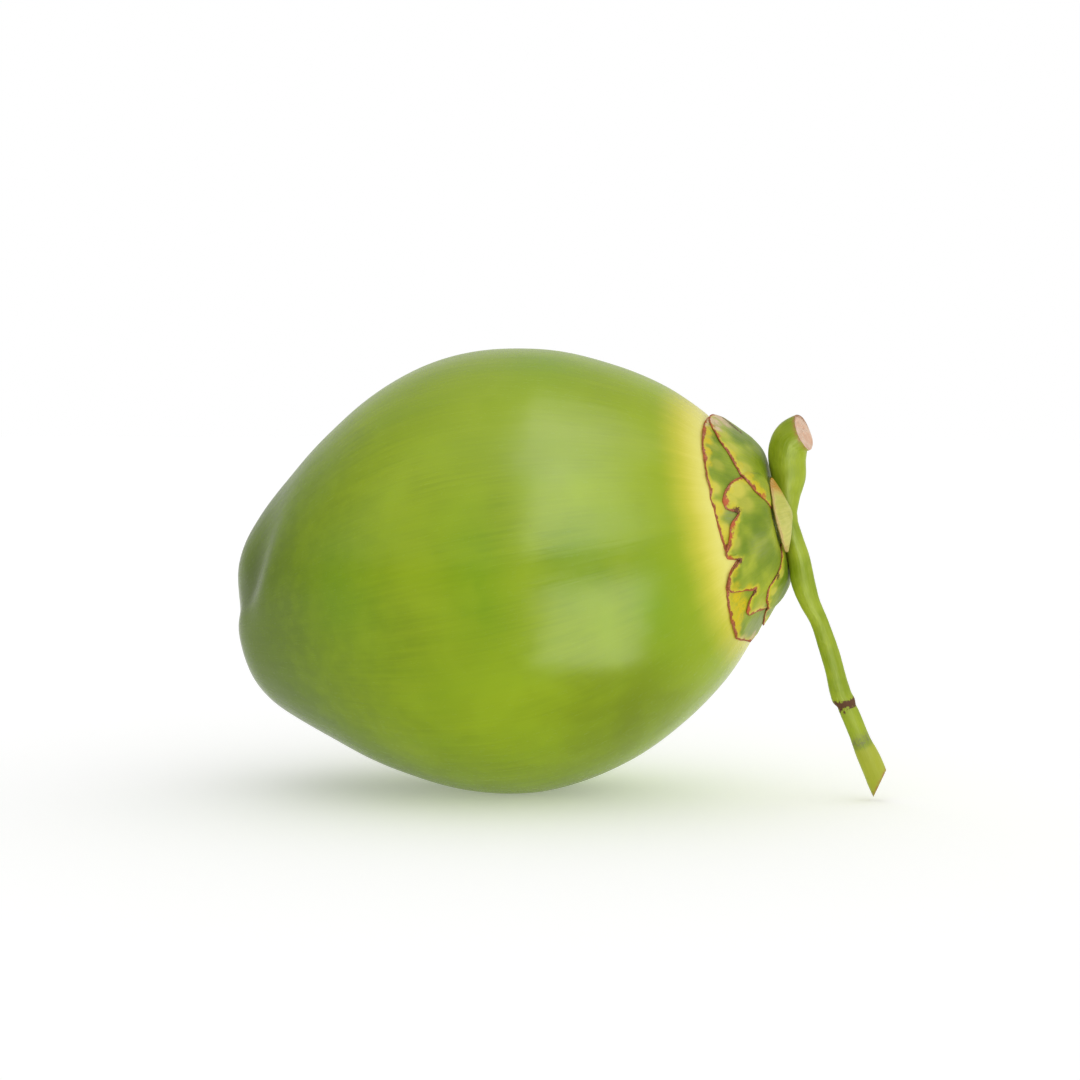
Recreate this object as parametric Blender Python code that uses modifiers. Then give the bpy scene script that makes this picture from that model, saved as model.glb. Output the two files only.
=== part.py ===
"""Green coconut, whole, with its perianth and the piece of branch it grew on.

Metres, +Z up. The origin is the middle of the small flat spot that the fruit rests on.
The fruit's long axis lies along +X, raised at the stem end, where the branch is.

Every piece is first laid out about the fruit's own axis: "along" is the distance from the
blunt end, "out" is the distance from the axis, and "turn" is the angle about the axis,
0 degrees towards -Y and 90 degrees upwards.
"""

import math

import bmesh
import bpy
import numpy as np
from mathutils import Vector

MM = 0.001

# driving dimensions
TILT = math.radians(12.5)       # the stem end is raised by this much
REST_CUT = 1.4 * MM             # depth of the flat spot
HUSK_RINGS = 40
HUSK_SEGMENTS = 60
GAP = 0.45 * MM                 # between two pieces that lie on each other
PETAL_THICK = 0.7 * MM
SEPAL_THICK = 0.6 * MM
SCALE_FOOT = 15.5 * MM          # inner edge of the petals and sepals, round the branch
OUTLINE_SAMPLES = 600
CURVE_SAMPLES = 40              # for each point of a smooth curve
WELD = 0.01 * MM
CUTTER = 40.0 * MM              # the blocks that cut the branch
FLOOR_CUTTER = 200.0 * MM       # the block that cuts the flat spot

# the husk's outline from the blunt end to the stem end: along, out
HUSK_OUTLINE_MM = [
    (3.2, 0.0), (2.4, 6.0), (1.2, 13.0), (1.4, 20.0), (3.2, 27.0), (7.5, 33.8),
    (15.0, 41.5), (28.0, 52.2), (48.0, 66.2), (75.0, 79.3), (103.0, 84.6),
    (135.0, 79.7), (160.0, 68.3), (177.0, 56.6), (188.0, 45.6), (193.2, 39.1),
    (199.2, 32.2), (203.2, 28.0), (206.0, 23.8), (206.9, 19.2), (206.8, 14.0),
    (206.6, 7.0), (206.6, 0.0),
]

# three lobes close round the blunt end, with a groove between each two
# turn at the blunt end, and how far the lobe stands out or back where it ends there
LOBES = ((-42.0, 0.8 * MM), (78.0, -0.4 * MM), (198.0, 0.8 * MM))
LOBE_SWELL = 0.8 * MM           # how far the lobes stand out along the whole fruit
LOBE_TIP_AT = 24.0 * MM         # from the blunt end, along the surface
LOBE_TIP_REACH = 15.0 * MM
LOBE_HALF_WIDTH = 38.0          # degrees
GROOVES = ((23.0, 3.5 * MM), (140.0, 3.4 * MM), (-102.0, 2.2 * MM))   # turn, depth
GROOVE_STEEP_SIDE = 15.0        # degrees
GROOVE_EASY_SIDE = 27.0
GROOVE_DEEPEST = 40.0 * MM      # from the blunt end, along the surface
GROOVE_REACH = 21.0 * MM
TWIST = 36.0                    # degrees that lobes and grooves turn over these distances
TWIST_FROM, TWIST_TO = 36.0 * MM, 82.0 * MM

# margins of the perianth scales: turn in degrees, out in millimetres
PETAL_MARGINS = {
    "petal_1": [(-14.5, 36.5), (-13, 40.4), (0, 41.0), (20, 41.8), (45, 42.4), (65, 41.8),
                (78, 41.2), (90, 40.6), (100, 39.2), (104.5, 37.6)],
    "petal_2": [(-133, 37), (-120, 41), (-100, 43), (-82, 43.8), (-70, 44.6), (-60, 46.6),
                (-42, 45.6), (-28, 43.6), (-22, 40.5), (-17.5, 36)],
    "petal_3": [(107, 35), (112, 40), (135, 43.5), (165, 45), (195, 44), (215, 41), (224, 36)],
}
SEPAL_MARGINS = {
    "sepal_1": [(-102, 18.5), (-96, 23), (-85, 29), (-75, 32.5), (-69, 33.8), (-62, 36),
                (-55, 39.6), (-50, 40), (-46, 38), (-43.5, 34.5), (-38, 37.5), (-31, 43.4),
                (-28, 43.6), (-23, 41.6), (-19, 36.6), (-15.5, 40.4), (-12.5, 41),
                (-7, 39.2), (0, 37.6), (3, 36.4), (7.5, 33.3), (10.5, 37.4), (14.5, 38.4),
                (22, 36.6), (30, 32.5), (33, 30.4), (36, 28), (38, 26), (40, 23.8), (42, 21.2)],
    "sepal_2": [(-222, 18.5), (-215, 23), (-200, 29), (-180, 34), (-160, 37.5), (-140, 39.5),
                (-120, 40), (-100, 39), (-88, 37.8), (-79, 35.9), (-72, 33.6), (-65, 32.8),
                (-59.5, 32.7), (-54, 31.6), (-50.5, 30), (-48.5, 27.4), (-47.2, 24.6),
                (-46, 21.5), (-44, 18.5)],
    "sepal_3": [(12, 18.5), (15, 21.5), (19, 24.9), (24, 27), (31, 29.2),
                (40, 31.8), (49, 33.6), (57, 36.8), (66, 39.4), (76, 41), (88, 40.8),
                (100, 39.8), (115, 38.5), (130, 36.5), (150, 33), (170, 29), (185, 25),
                (195, 21), (200, 18.5)],
}
COLUMN_STEP = 7.0               # degrees, widest column of a scale
SCALE_ROWS = 9
SCALE_ROW_EASE = 1.2            # rows lie closer together near the branch, where it curves
OVERLAP_FULL = 1.6 * MM         # a scale is fully lifted this far outside the one under it
OVERLAP_EASE = 4.6 * MM         # and back on the petals this far outside it

# the two small scales at the foot of the branch: middle turn, half width in degrees
BRACTEOLES = {"bracteole_1": (1.0, 48.0), "bracteole_2": (186.0, 40.0)}
BRACTEOLE_THICK = 0.9 * MM
BRACTEOLE_FOOT_MM = (210.6, 16.6)     # along, out at the free lower margin
BRACTEOLE_BROW_MM = (213.9, 9.6)      # along, out at the upper margin
BRACTEOLE_ENDS_MM = (211.2, 18.6)     # along, out where its two margins meet
BRACTEOLE_BULGE = 0.9 * MM
BRACTEOLE_COLUMNS, BRACTEOLE_ROWS = 15, 6
BRACTEOLE_TIP_SHARE = 0.12      # width where its margins meet, as a share of the widest

# the branch from its cut stub to its thin tip: along, above the axis, sideways, radius
BRANCH_MM = [
    (230.0, 29.0, -3.2, 6.9), (226.6, 28.4, -2.4, 7.0), (223.0, 27.8, -1.6, 7.1),
    (219.7, 26.0, -0.8, 7.2), (217.2, 20.5, 0.0, 7.2), (216.1, 13.5, 0.0, 6.6),
    (213.6, 6.0, 0.0, 5.4), (211.7, -1.5, -0.8, 4.5), (213.4, -10.0, -3.8, 4.0),
    (214.7, -18.0, -6.0, 3.95), (214.3, -26.0, -6.5, 4.3), (214.9, -34.0, -6.0, 3.9),
    (216.3, -41.0, -5.0, 3.3), (217.4, -50.0, -4.0, 3.5), (218.0, -60.0, -3.0, 3.6),
    (218.4, -69.5, -2.0, 3.9), (219.6, -74.5, -1.5, 3.6), (221.5, -86.0, -0.8, 3.6),
    (223.9, -98.0, 0.0, 4.3), (226.0, -110.0, 0.0, 4.0),
]
BRANCH_RINGS = 52
BRANCH_ROUNDNESS = 4            # bevel steps in a quarter of the branch
STUB_CUT_MM = (225.4, 27.4, -1.8)     # a point on the oblique cut through the stub
STUB_CUT_FACES = (0.86, 0.16, -0.22)  # the way that the cut looks: along, above, sideways
TIP_CUT_MM = (225.9, -104.6, 0.0)
TIP_CUT_FACES = (0.80, -0.60, 0.0)
BRANCH_FOOT_RADII_MM = (14.4, 4.6)    # the flared foot that joins the branch to the fruit
BRANCH_FOOT_MM = (207.1, 211.5)       # along: where the foot starts and ends
BRANCH_FOOT_SIDES = 24

COLOURS = {
    "husk": (0.250, 0.380, 0.055, 1.0),
    "petal": (0.300, 0.360, 0.060, 1.0),
    "sepal": (0.240, 0.330, 0.040, 1.0),
    "bracteole": (0.560, 0.580, 0.130, 1.0),
    "rachilla": (0.290, 0.390, 0.030, 1.0),
}
ROUGHNESS = {"husk": 0.38, "petal": 0.5, "sepal": 0.45, "bracteole": 0.55, "rachilla": 0.42}


def clear_scene():
    for item in list(bpy.data.objects):
        bpy.data.objects.remove(item, do_unlink=True)


def new_collection(name):
    collection = bpy.data.collections.new(name)
    bpy.context.scene.collection.children.link(collection)
    return collection


def finish(name):
    """The material of one kind of piece."""
    material = bpy.data.materials.new(name)
    material.use_nodes = True
    shader = material.node_tree.nodes["Principled BSDF"]
    shader.inputs["Base Color"].default_value = COLOURS[name]
    shader.inputs["Roughness"].default_value = ROUGHNESS[name]
    shader.inputs["Metallic"].default_value = 0.0
    material.diffuse_color = COLOURS[name]
    return material


def smooth_curve(points, count, spatial=None):
    """A smooth curve through the points, read at count places evenly along its length."""
    points = np.array(points, float)
    spatial = spatial or points.shape[1]
    chords = np.linalg.norm(np.diff(points[:, :spatial], axis=0), axis=1)
    knots = np.concatenate([[0.0], np.cumsum(np.sqrt(chords))])
    slopes = np.gradient(points, knots, axis=0)
    fine = np.linspace(0.0, knots[-1], CURVE_SAMPLES * len(points))
    span = np.clip(np.searchsorted(knots, fine, side="right") - 1, 0, len(knots) - 2)
    width = (knots[span + 1] - knots[span])[:, None]
    t = ((fine - knots[span]) / width[:, 0])[:, None]
    curve = ((2 * t**3 - 3 * t**2 + 1) * points[span]
             + (t**3 - 2 * t**2 + t) * width * slopes[span]
             + (3 * t**2 - 2 * t**3) * points[span + 1]
             + (t**3 - t**2) * width * slopes[span + 1])
    steps = np.linalg.norm(np.diff(curve[:, :spatial], axis=0), axis=1)
    length = np.concatenate([[0.0], np.cumsum(steps)])
    even = np.linspace(0.0, length[-1], count)
    columns = [np.interp(even, length, curve[:, k]) for k in range(points.shape[1])]
    return np.stack(columns, axis=1), even


OUTLINE, OUTLINE_LENGTH = smooth_curve(np.array(HUSK_OUTLINE_MM) * MM, OUTLINE_SAMPLES)
OUTLINE[:, 1] = np.maximum(OUTLINE[:, 1], 0.0)
OUTLINE_SLOPE = np.gradient(OUTLINE, OUTLINE_LENGTH, axis=0)
STEM_HALF = int(np.argmax(OUTLINE[:, 1]))


def around_axis(along, out, turn):
    """A point of the fruit's own frame from its distance along and out, and its turn."""
    return Vector((along, -out * math.cos(turn), out * math.sin(turn)))


def ease(share):
    """0 up to 0, 1 from 1 on, and smooth between."""
    share = max(0.0, min(1.0, share))
    return share * share * (3.0 - 2.0 * share)


def hump(away, reach):
    """1 in the middle, falling smoothly to nothing past its reach."""
    return math.exp(-(away / reach) ** 2)


def turn_between(turn, middle):
    """Degrees from a middle turn to this one, the short way round."""
    return math.remainder(math.degrees(turn) - middle, 360.0)


def lobe_offset(distance, turn):
    """How far the husk stands out from its turned shape, by distance from the blunt end."""
    twisted = TWIST * ease((distance - TWIST_FROM) / (TWIST_TO - TWIST_FROM))
    turn -= math.radians(twisted)
    share = distance / OUTLINE_LENGTH[-1]
    swell = LOBE_SWELL * math.sin(math.pi * share) ** 2
    offset = swell * math.cos(3.0 * (turn - math.radians(LOBES[0][0])))
    growing = min(1.0, distance / LOBE_TIP_AT)
    near_tip = growing * hump(distance - LOBE_TIP_AT, LOBE_TIP_REACH)
    for middle, rise in LOBES:
        offset += near_tip * rise * hump(turn_between(turn, middle), LOBE_HALF_WIDTH)
    share = growing * hump(distance - GROOVE_DEEPEST, GROOVE_REACH)
    for middle, depth in GROOVES:
        away = turn_between(turn, middle)
        side = GROOVE_STEEP_SIDE if away < 0 else GROOVE_EASY_SIDE
        offset -= share * depth * hump(away, side)
    return offset


def husk_point(distance, turn):
    """The husk's surface, by distance from the blunt end along it, and turn."""
    along, out = (np.interp(distance, OUTLINE_LENGTH, OUTLINE[:, k]) for k in range(2))
    slope = [np.interp(distance, OUTLINE_LENGTH, OUTLINE_SLOPE[:, k]) for k in range(2)]
    size = math.hypot(*slope)
    offset = lobe_offset(distance, turn)
    along -= offset * slope[1] / size
    out += offset * slope[0] / size
    return around_axis(along, max(out, 0.0), turn)


def crown_point(out, turn, lift):
    """A point above the husk's stem end, at a distance out from the axis, lifted off it."""
    outs = OUTLINE[STEM_HALF:, 1][::-1]
    along = np.interp(out, outs, OUTLINE[STEM_HALF:, 0][::-1])
    facing_along = -np.interp(out, outs, OUTLINE_SLOPE[STEM_HALF:, 1][::-1])
    facing_out = np.interp(out, outs, OUTLINE_SLOPE[STEM_HALF:, 0][::-1])
    size = math.hypot(facing_along, facing_out)
    along += lift * facing_along / size
    out += lift * facing_out / size
    return around_axis(along, out, turn)


def add_object(name, mesh, material, axis, collection):
    item = bpy.data.objects.new(name, mesh)
    item.parent = axis
    item.data.materials.clear()
    item.data.materials.append(material)
    collection.objects.link(item)
    return item


def add_husk(axis, collection):
    """A sphere's rings and segments, drawn out to the fruit's outline and lobes."""
    mesh = bpy.data.meshes.new("husk")
    body = bmesh.new()
    bmesh.ops.create_uvsphere(body, u_segments=HUSK_SEGMENTS, v_segments=HUSK_RINGS, radius=1.0)
    for vertex in body.verts:
        polar = math.acos(max(-1.0, min(1.0, -vertex.co.z)))
        turn = math.atan2(vertex.co.y, vertex.co.x)
        vertex.co = husk_point(polar / math.pi * OUTLINE_LENGTH[-1], turn)
    bmesh.ops.recalc_face_normals(body, faces=body.faces)
    body.to_mesh(mesh)
    body.free()
    mesh.shade_smooth()
    return add_object("husk", mesh, finish("husk"), axis, collection)


def column_turns(margin):
    """The turns of a scale's columns: one at each point of its margin, and some between."""
    turns = []
    for (start, _), (end, _) in zip(margin, margin[1:]):
        steps = math.ceil((end - start) / COLUMN_STEP)
        turns += list(np.linspace(start, end, steps, endpoint=False))
    return turns + [margin[-1][0]]


def reach(margin, turn_deg):
    turns, outs = zip(*margin)
    return np.interp(turn_deg, turns, outs) * MM


def covered(margin, out, turn_deg):
    """1 over a scale with this margin, easing to 0 a little outside it."""
    first, last = margin[0][0], margin[-1][0]
    middle = 0.5 * (first + last)
    turn_deg = middle + math.remainder(turn_deg - middle, 360.0)
    past_side = min(turn_deg - first, last - turn_deg)
    inside = min(reach(margin, turn_deg) - out, math.radians(past_side) * out)
    return ease((inside + OVERLAP_EASE) / (OVERLAP_EASE - OVERLAP_FULL))


def sheet_mesh(name, columns, rows, place):
    """A grid of columns x rows, each of its points put in its place on the fruit."""
    mesh = bpy.data.meshes.new(name)
    sheet = bmesh.new()
    bmesh.ops.create_grid(sheet, x_segments=columns - 1, y_segments=rows - 1, size=1.0)
    for vertex in sheet.verts:
        column = round((vertex.co.x + 1.0) / 2.0 * (columns - 1))
        row = round((vertex.co.y + 1.0) / 2.0 * (rows - 1))
        vertex.co = place(column, row)
    sheet.to_mesh(mesh)
    sheet.free()
    return mesh


def thicken(item, thickness):
    shell = item.modifiers.new("thickness", "SOLIDIFY")
    shell.thickness = thickness
    shell.offset = 1.0
    return item


def add_scale(name, margin, lift, thickness, material, axis, collection):
    """One petal or sepal: a sheet that follows the stem end, out to its own margin."""
    turns = column_turns(margin)

    def place(column, row):
        turn = turns[column]
        share = (row / (SCALE_ROWS - 1)) ** SCALE_ROW_EASE
        out = SCALE_FOOT + (reach(margin, turn) - SCALE_FOOT) * share
        return crown_point(out, math.radians(turn), lift(out, turn))

    mesh = sheet_mesh(name, len(turns), SCALE_ROWS, place)
    return thicken(add_object(name, mesh, material, axis, collection), thickness)


def add_perianth(axis, collection):
    """Three petals on the husk, then three sepals, each over the ones before it."""
    def petal_lift(out, turn):
        return GAP

    for name, margin in PETAL_MARGINS.items():
        add_scale(name, margin, petal_lift, PETAL_THICK, finish("petal"), axis, collection)

    below = []
    for name, margin in SEPAL_MARGINS.items():
        def sepal_lift(out, turn, under=tuple(below)):
            raised = sum(covered(other, out, turn) for other in under)
            return 2.0 * GAP + PETAL_THICK + raised * (SEPAL_THICK + GAP)

        add_scale(name, margin, sepal_lift, SEPAL_THICK, finish("sepal"), axis, collection)
        below.append(margin)


def add_bracteole(name, axis, collection):
    """A small crescent scale that leans against the foot of the branch."""
    middle, half = BRACTEOLES[name]
    columns, rows = BRACTEOLE_COLUMNS, BRACTEOLE_ROWS
    foot, brow, ends = (np.array(p) * MM for p in (
        BRACTEOLE_FOOT_MM, BRACTEOLE_BROW_MM, BRACTEOLE_ENDS_MM))

    def place(column, row):
        side = 2.0 * column / (columns - 1) - 1.0
        up = 1.0 - row / (rows - 1)
        narrow = 1.0 - (1.0 - BRACTEOLE_TIP_SHARE) * side * side
        low = ends + (foot - ends) * narrow
        high = low + (brow - foot) * narrow
        along, out = low + (high - low) * up
        bulge = BRACTEOLE_BULGE * narrow * math.sin(math.pi * up)
        return around_axis(along + bulge, out + bulge, math.radians(middle + half * side))

    mesh = sheet_mesh(name, columns, rows, place)
    item = add_object(name, mesh, finish("bracteole"), axis, collection)
    return thicken(item, BRACTEOLE_THICK)


def branch_vector(values):
    along, above, sideways = values
    return Vector((along, sideways, above))


def add_tool(name, mesh, cutters, axis=None):
    """A shape that is only there for a Boolean."""
    tool = bpy.data.objects.new(name, mesh)
    tool.parent = axis
    tool.hide_render = True
    tool.display_type = "WIRE"
    cutters.objects.link(tool)
    return tool


def add_cutter(name, size, cutters, axis=None):
    mesh = bpy.data.meshes.new(name)
    block = bmesh.new()
    bmesh.ops.create_cube(block, size=size)
    block.to_mesh(mesh)
    block.free()
    return add_tool(name, mesh, cutters, axis)


def combine(item, tool, operation):
    boolean = item.modifiers.new(tool.name, "BOOLEAN")
    boolean.operation = operation
    boolean.object = tool


def branch_curve(collection):
    """The branch as a bevelled curve, its radius following the list of points."""
    points, _ = smooth_curve(np.array(BRANCH_MM) * MM, BRANCH_RINGS, spatial=3)
    data = bpy.data.curves.new("branch", "CURVE")
    data.dimensions = "3D"
    data.bevel_depth = 1.0 * MM
    data.bevel_resolution = BRANCH_ROUNDNESS
    data.use_fill_caps = True
    spline = data.splines.new("POLY")
    spline.points.add(len(points) - 1)
    for point, (along, above, sideways, radius) in zip(spline.points, points):
        point.co = (*branch_vector((along, above, sideways)), 1.0)
        point.radius = radius / MM
    item = bpy.data.objects.new("branch", data)
    collection.objects.link(item)
    return item


def curve_to_mesh(item):
    """The curve's surface as a closed mesh, its caps welded on."""
    bpy.context.view_layer.update()
    evaluated = item.evaluated_get(bpy.context.evaluated_depsgraph_get())
    mesh = bpy.data.meshes.new_from_object(evaluated)
    solid = bmesh.new()
    solid.from_mesh(mesh)
    bmesh.ops.remove_doubles(solid, verts=solid.verts, dist=WELD)
    bmesh.ops.recalc_face_normals(solid, faces=solid.faces)
    solid.to_mesh(mesh)
    solid.free()
    bpy.data.objects.remove(item, do_unlink=True)
    mesh.name = "rachilla"
    return mesh


def add_foot(cutters, axis):
    """The flared foot that the branch stands on, a short cone along the fruit's axis."""
    start, end = (value * MM for value in BRANCH_FOOT_MM)
    wide, narrow = (value * MM for value in BRANCH_FOOT_RADII_MM)
    mesh = bpy.data.meshes.new("foot")
    cone = bmesh.new()
    bmesh.ops.create_cone(cone, cap_ends=True, segments=BRANCH_FOOT_SIDES, radius1=wide,
                          radius2=narrow, depth=end - start)
    cone.to_mesh(mesh)
    cone.free()
    foot = add_tool("foot", mesh, cutters, axis)
    foot.rotation_euler = (0.0, math.radians(90.0), 0.0)
    foot.location = (0.5 * (start + end), 0.0, 0.0)
    return foot


def add_rachilla(axis, collection, cutters):
    """The piece of branch: thick cut stub, waist on the fruit, thin end hanging down."""
    mesh = curve_to_mesh(branch_curve(collection))
    mesh.shade_smooth()
    branch = add_object("rachilla", mesh, finish("rachilla"), axis, collection)
    combine(branch, add_foot(cutters, axis), "UNION")
    for name, point, faces in (("stub_cut", STUB_CUT_MM, STUB_CUT_FACES),
                               ("tip_cut", TIP_CUT_MM, TIP_CUT_FACES)):
        away = branch_vector(faces).normalized()
        cutter = add_cutter(name, CUTTER, cutters, axis)
        cutter.rotation_euler = away.to_track_quat("Z", "Y").to_euler()
        cutter.location = branch_vector(point) * MM + away * CUTTER / 2.0
        combine(branch, cutter, "DIFFERENCE")


def fruit_axis(collection):
    """The fruit's own frame, tilted, with the middle of its flat spot at the origin."""
    along, out = OUTLINE[:, 0], OUTLINE[:, 1]
    drop = out * math.cos(TILT) - along * math.sin(TILT)
    lowest = int(np.argmax(drop))
    axis = bpy.data.objects.new("fruit_axis", None)
    axis.rotation_euler = (0.0, -TILT, 0.0)
    forward = along[lowest] * math.cos(TILT) + out[lowest] * math.sin(TILT)
    axis.location = (-forward, 0.0, drop[lowest] - REST_CUT)
    collection.objects.link(axis)
    return axis


def build():
    clear_scene()
    coconut = new_collection("green_coconut")
    cutters = new_collection("cutters")
    axis = fruit_axis(coconut)
    husk = add_husk(axis, coconut)
    floor_cut = add_cutter("flat_spot", FLOOR_CUTTER, cutters)
    floor_cut.location = (0.0, 0.0, -FLOOR_CUTTER / 2.0)
    combine(husk, floor_cut, "DIFFERENCE")
    add_perianth(axis, coconut)
    for name in BRACTEOLES:
        add_bracteole(name, axis, coconut)
    add_rachilla(axis, coconut, cutters)
    bpy.context.view_layer.update()


build()
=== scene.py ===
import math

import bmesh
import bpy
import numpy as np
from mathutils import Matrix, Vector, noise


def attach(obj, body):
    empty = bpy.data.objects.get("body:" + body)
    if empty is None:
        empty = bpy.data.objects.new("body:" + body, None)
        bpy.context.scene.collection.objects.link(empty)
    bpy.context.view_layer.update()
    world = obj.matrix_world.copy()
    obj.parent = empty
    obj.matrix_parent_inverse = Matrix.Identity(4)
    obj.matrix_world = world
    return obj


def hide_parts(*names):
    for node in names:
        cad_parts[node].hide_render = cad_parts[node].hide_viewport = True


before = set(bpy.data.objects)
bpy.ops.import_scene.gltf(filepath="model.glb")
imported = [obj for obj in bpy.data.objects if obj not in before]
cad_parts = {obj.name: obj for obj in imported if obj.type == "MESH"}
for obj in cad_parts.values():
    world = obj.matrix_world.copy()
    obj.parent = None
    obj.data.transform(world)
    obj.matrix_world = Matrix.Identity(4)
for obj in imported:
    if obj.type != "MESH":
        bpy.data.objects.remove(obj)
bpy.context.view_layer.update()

# A green coconut lying on its side, with its perianth and a piece of branch.
#
# Every piece is laid out about the fruit's own axis, as the solids are: "along" is the
# distance from the blunt end, "out" is the distance from the axis, and "turn" is the angle
# about it, 0 degrees towards the front and 90 degrees upwards.

MM = 0.001


# ---- the fruit's measures

TILT = math.radians(12.5)       # the stem end is raised by this much
REST_CUT = 1.4 * MM             # how far the fruit is pressed flat where it rests
REST_SOFTNESS = 0.25 * MM       # how soft the edge of the flat spot is

# the husk's outline from the blunt end to the stem end: along, out
HUSK_OUTLINE_MM = [
    (3.2, 0), (2.4, 6), (1.2, 13), (1.4, 20), (3.2, 27), (7.5, 33.8),
    (15, 41.5), (28, 52.2), (48, 66.2), (75, 79.3), (103, 84.6),
    (135, 79.7), (160, 68.3), (177, 56.6), (188, 45.6), (193.2, 39.1),
    (199.2, 32.2), (203.2, 28), (206, 23.8), (206.9, 19.2), (206.8, 14),
    (206.6, 7), (206.6, 0),
]
OUTLINE_SAMPLES = 600
CURVE_SAMPLES = 40              # for each point of a smooth curve
NEAREST_BATCH = 2000            # points looked at together
HUSK_RINGS = 230
HUSK_SEGMENTS = 400

# three lobes close round the blunt end, with a groove between each two
LOBES = ((-42.0, 0.8 * MM), (78.0, -0.4 * MM), (198.0, 0.8 * MM))     # turn, rise at the tip
LOBE_SWELL = 0.8 * MM
LOBE_TIP_AT = 24.0 * MM
LOBE_TIP_REACH = 15.0 * MM
LOBE_HALF_WIDTH = 38.0
GROOVES = ((23.0, 3.5 * MM), (140.0, 3.4 * MM), (-102.0, 2.2 * MM))
GROOVE_STEEP_SIDE = 15.0
GROOVE_EASY_SIDE = 27.0
GROOVE_DEEPEST = 40.0 * MM
GROOVE_REACH = 21.0 * MM
FAINT_GROOVE_SHADE = 0.45            # how dark the painted shade in the other grooves is beside the first
TWIST = 36.0
TWIST_FROM, TWIST_TO = 36.0 * MM, 82.0 * MM
SKIN_WAVES = ((46.0 * MM, 0.35 * MM), (17.0 * MM, 0.10 * MM))     # size, height
SKIN_RIBS = (26.0, 0.05 * MM)   # round the fruit, height
RIBS_LENGTHWISE = 12.0
WAVES_FROM, WAVES_END = 14.0 * MM, 60.0 * MM  # both fade this near the blunt and stem ends
RING_LEAN = 2.0 * MM            # how much wider the yellow ring is on one side
RING_WIDEST = math.radians(42.0)
# soft patches of other greens on the skin: along in millimetres, turn in degrees,
# reach along, reach in turn, strength
SKIN_PATCHES = {
    # painted shade: the olive patch darkens the lower side of the stem half, where less light
    # falls
    "olive_shade": [(146, -54, 27, 27, 0.8)],
    "fresh": [(170, -18, 10, 22, 0.6), (146, 0, 15, 10, 0.3), (111, 1, 12, 16, 0.45),
              (60, 6, 15, 15, 0.4), (139, 68, 12, 14, 0.4), (92, -128, 24, 22, 0.4),
              (150, 150, 26, 26, 0.4)],
    "light": [(126, 50, 32, 20, 0.45), (78, 196, 30, 24, 0.4)],
}
STYLE_SCAR = 3.4 * MM           # radius of the dry point at the middle of the blunt end
STYLE_RISE, STYLE_DIP = 0.5 * MM, 0.35 * MM   # of the point, and of the dent round it

# margins of the perianth scales: turn in degrees, out in millimetres
PETAL_MARGINS = {
    "petal_1": [(-14.5, 36.5), (-13, 40.4), (0, 41), (20, 41.8), (45, 42.4), (65, 41.8),
                (78, 41.2), (90, 40.6), (100, 39.2), (104.5, 37.6)],
    "petal_2": [(-133, 37), (-120, 41), (-100, 43), (-82, 43.8), (-70, 44.6), (-60, 46.6),
                (-42, 45.6), (-28, 43.6), (-22, 40.5), (-17.5, 36)],
    "petal_3": [(107, 35), (112, 40), (135, 43.5), (165, 45), (195, 44), (215, 41), (224, 36)],
}
SEPAL_MARGINS = {
    "sepal_1": [(-102, 18.5), (-96, 23), (-85, 29), (-75, 32.5), (-69, 33.8), (-62, 36),
                (-55, 39.6), (-50, 40), (-46, 38), (-43.5, 34.5), (-38, 37.5), (-31, 43.4),
                (-28, 43.6), (-23, 41.6), (-19, 36.6), (-15.5, 40.4), (-12.5, 41),
                (-7, 39.2), (0, 37.6), (3, 36.4), (7.5, 33.3), (10.5, 37.4), (14.5, 38.4),
                (22, 36.6), (30, 32.5), (36, 28), (42, 21)],
    "sepal_2": [(-222, 18.5), (-215, 23), (-200, 29), (-180, 34), (-160, 37.5), (-140, 39.5),
                (-120, 40), (-100, 39), (-88, 37.8), (-79, 35.9), (-72, 33.6), (-65, 32.8),
                (-59.5, 32.7), (-54, 31.6), (-50.5, 30), (-48.5, 27.4), (-47.2, 24.6),
                (-46, 21.5), (-44, 18.5)],
    "sepal_3": [(12, 18.5), (15, 21.6), (18, 24.6), (22, 27), (27, 28.8), (33, 30.2),
                (40, 31.8), (49, 33.6), (57, 36.8), (66, 39.4), (76, 41), (88, 40.8),
                (100, 39.8), (115, 38.5), (130, 36.5), (150, 33), (170, 29), (185, 25),
                (195, 21), (200, 18.5)],
}
SCALE_FOOT = 13.0 * MM          # the scales run in under the foot of the branch
SCALE_COLUMN = 0.55             # degrees
SCALE_ROWS = 46
SCALE_HUG = 0.05 * MM           # between a scale and what it lies on
PETAL_THICK = 1.0 * MM
SEPAL_THICK = 0.9 * MM
LIP_SHARE = 0.32                # thickness at the margin, as a share of the whole
LIP_WIDTH = 3.0 * MM            # where the full thickness starts
LAP_START, LAP_FULL = 2.5 * MM, 1.5 * MM      # outside and inside the margin below
TOOTH_MM = ((4.4, 0.34), (1.7, 0.22))         # length along a margin, height of its teeth
TOOTH_ARC_MM = 40.0             # the margins' mean distance out
LIP_CURL, CURL_WIDTH = 0.45 * MM, 2.4 * MM
VEIN_RISE = 0.07 * MM
# soft folds: turn, distance out, height
FOLDS = {"sepal_3": (96.0, 33.0 * MM, 1.6 * MM), "petal_1": (92.0, 38.0 * MM, 0.9 * MM)}
FOLD_TURNS, FOLD_REACH = 17.0, 11.0 * MM

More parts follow.
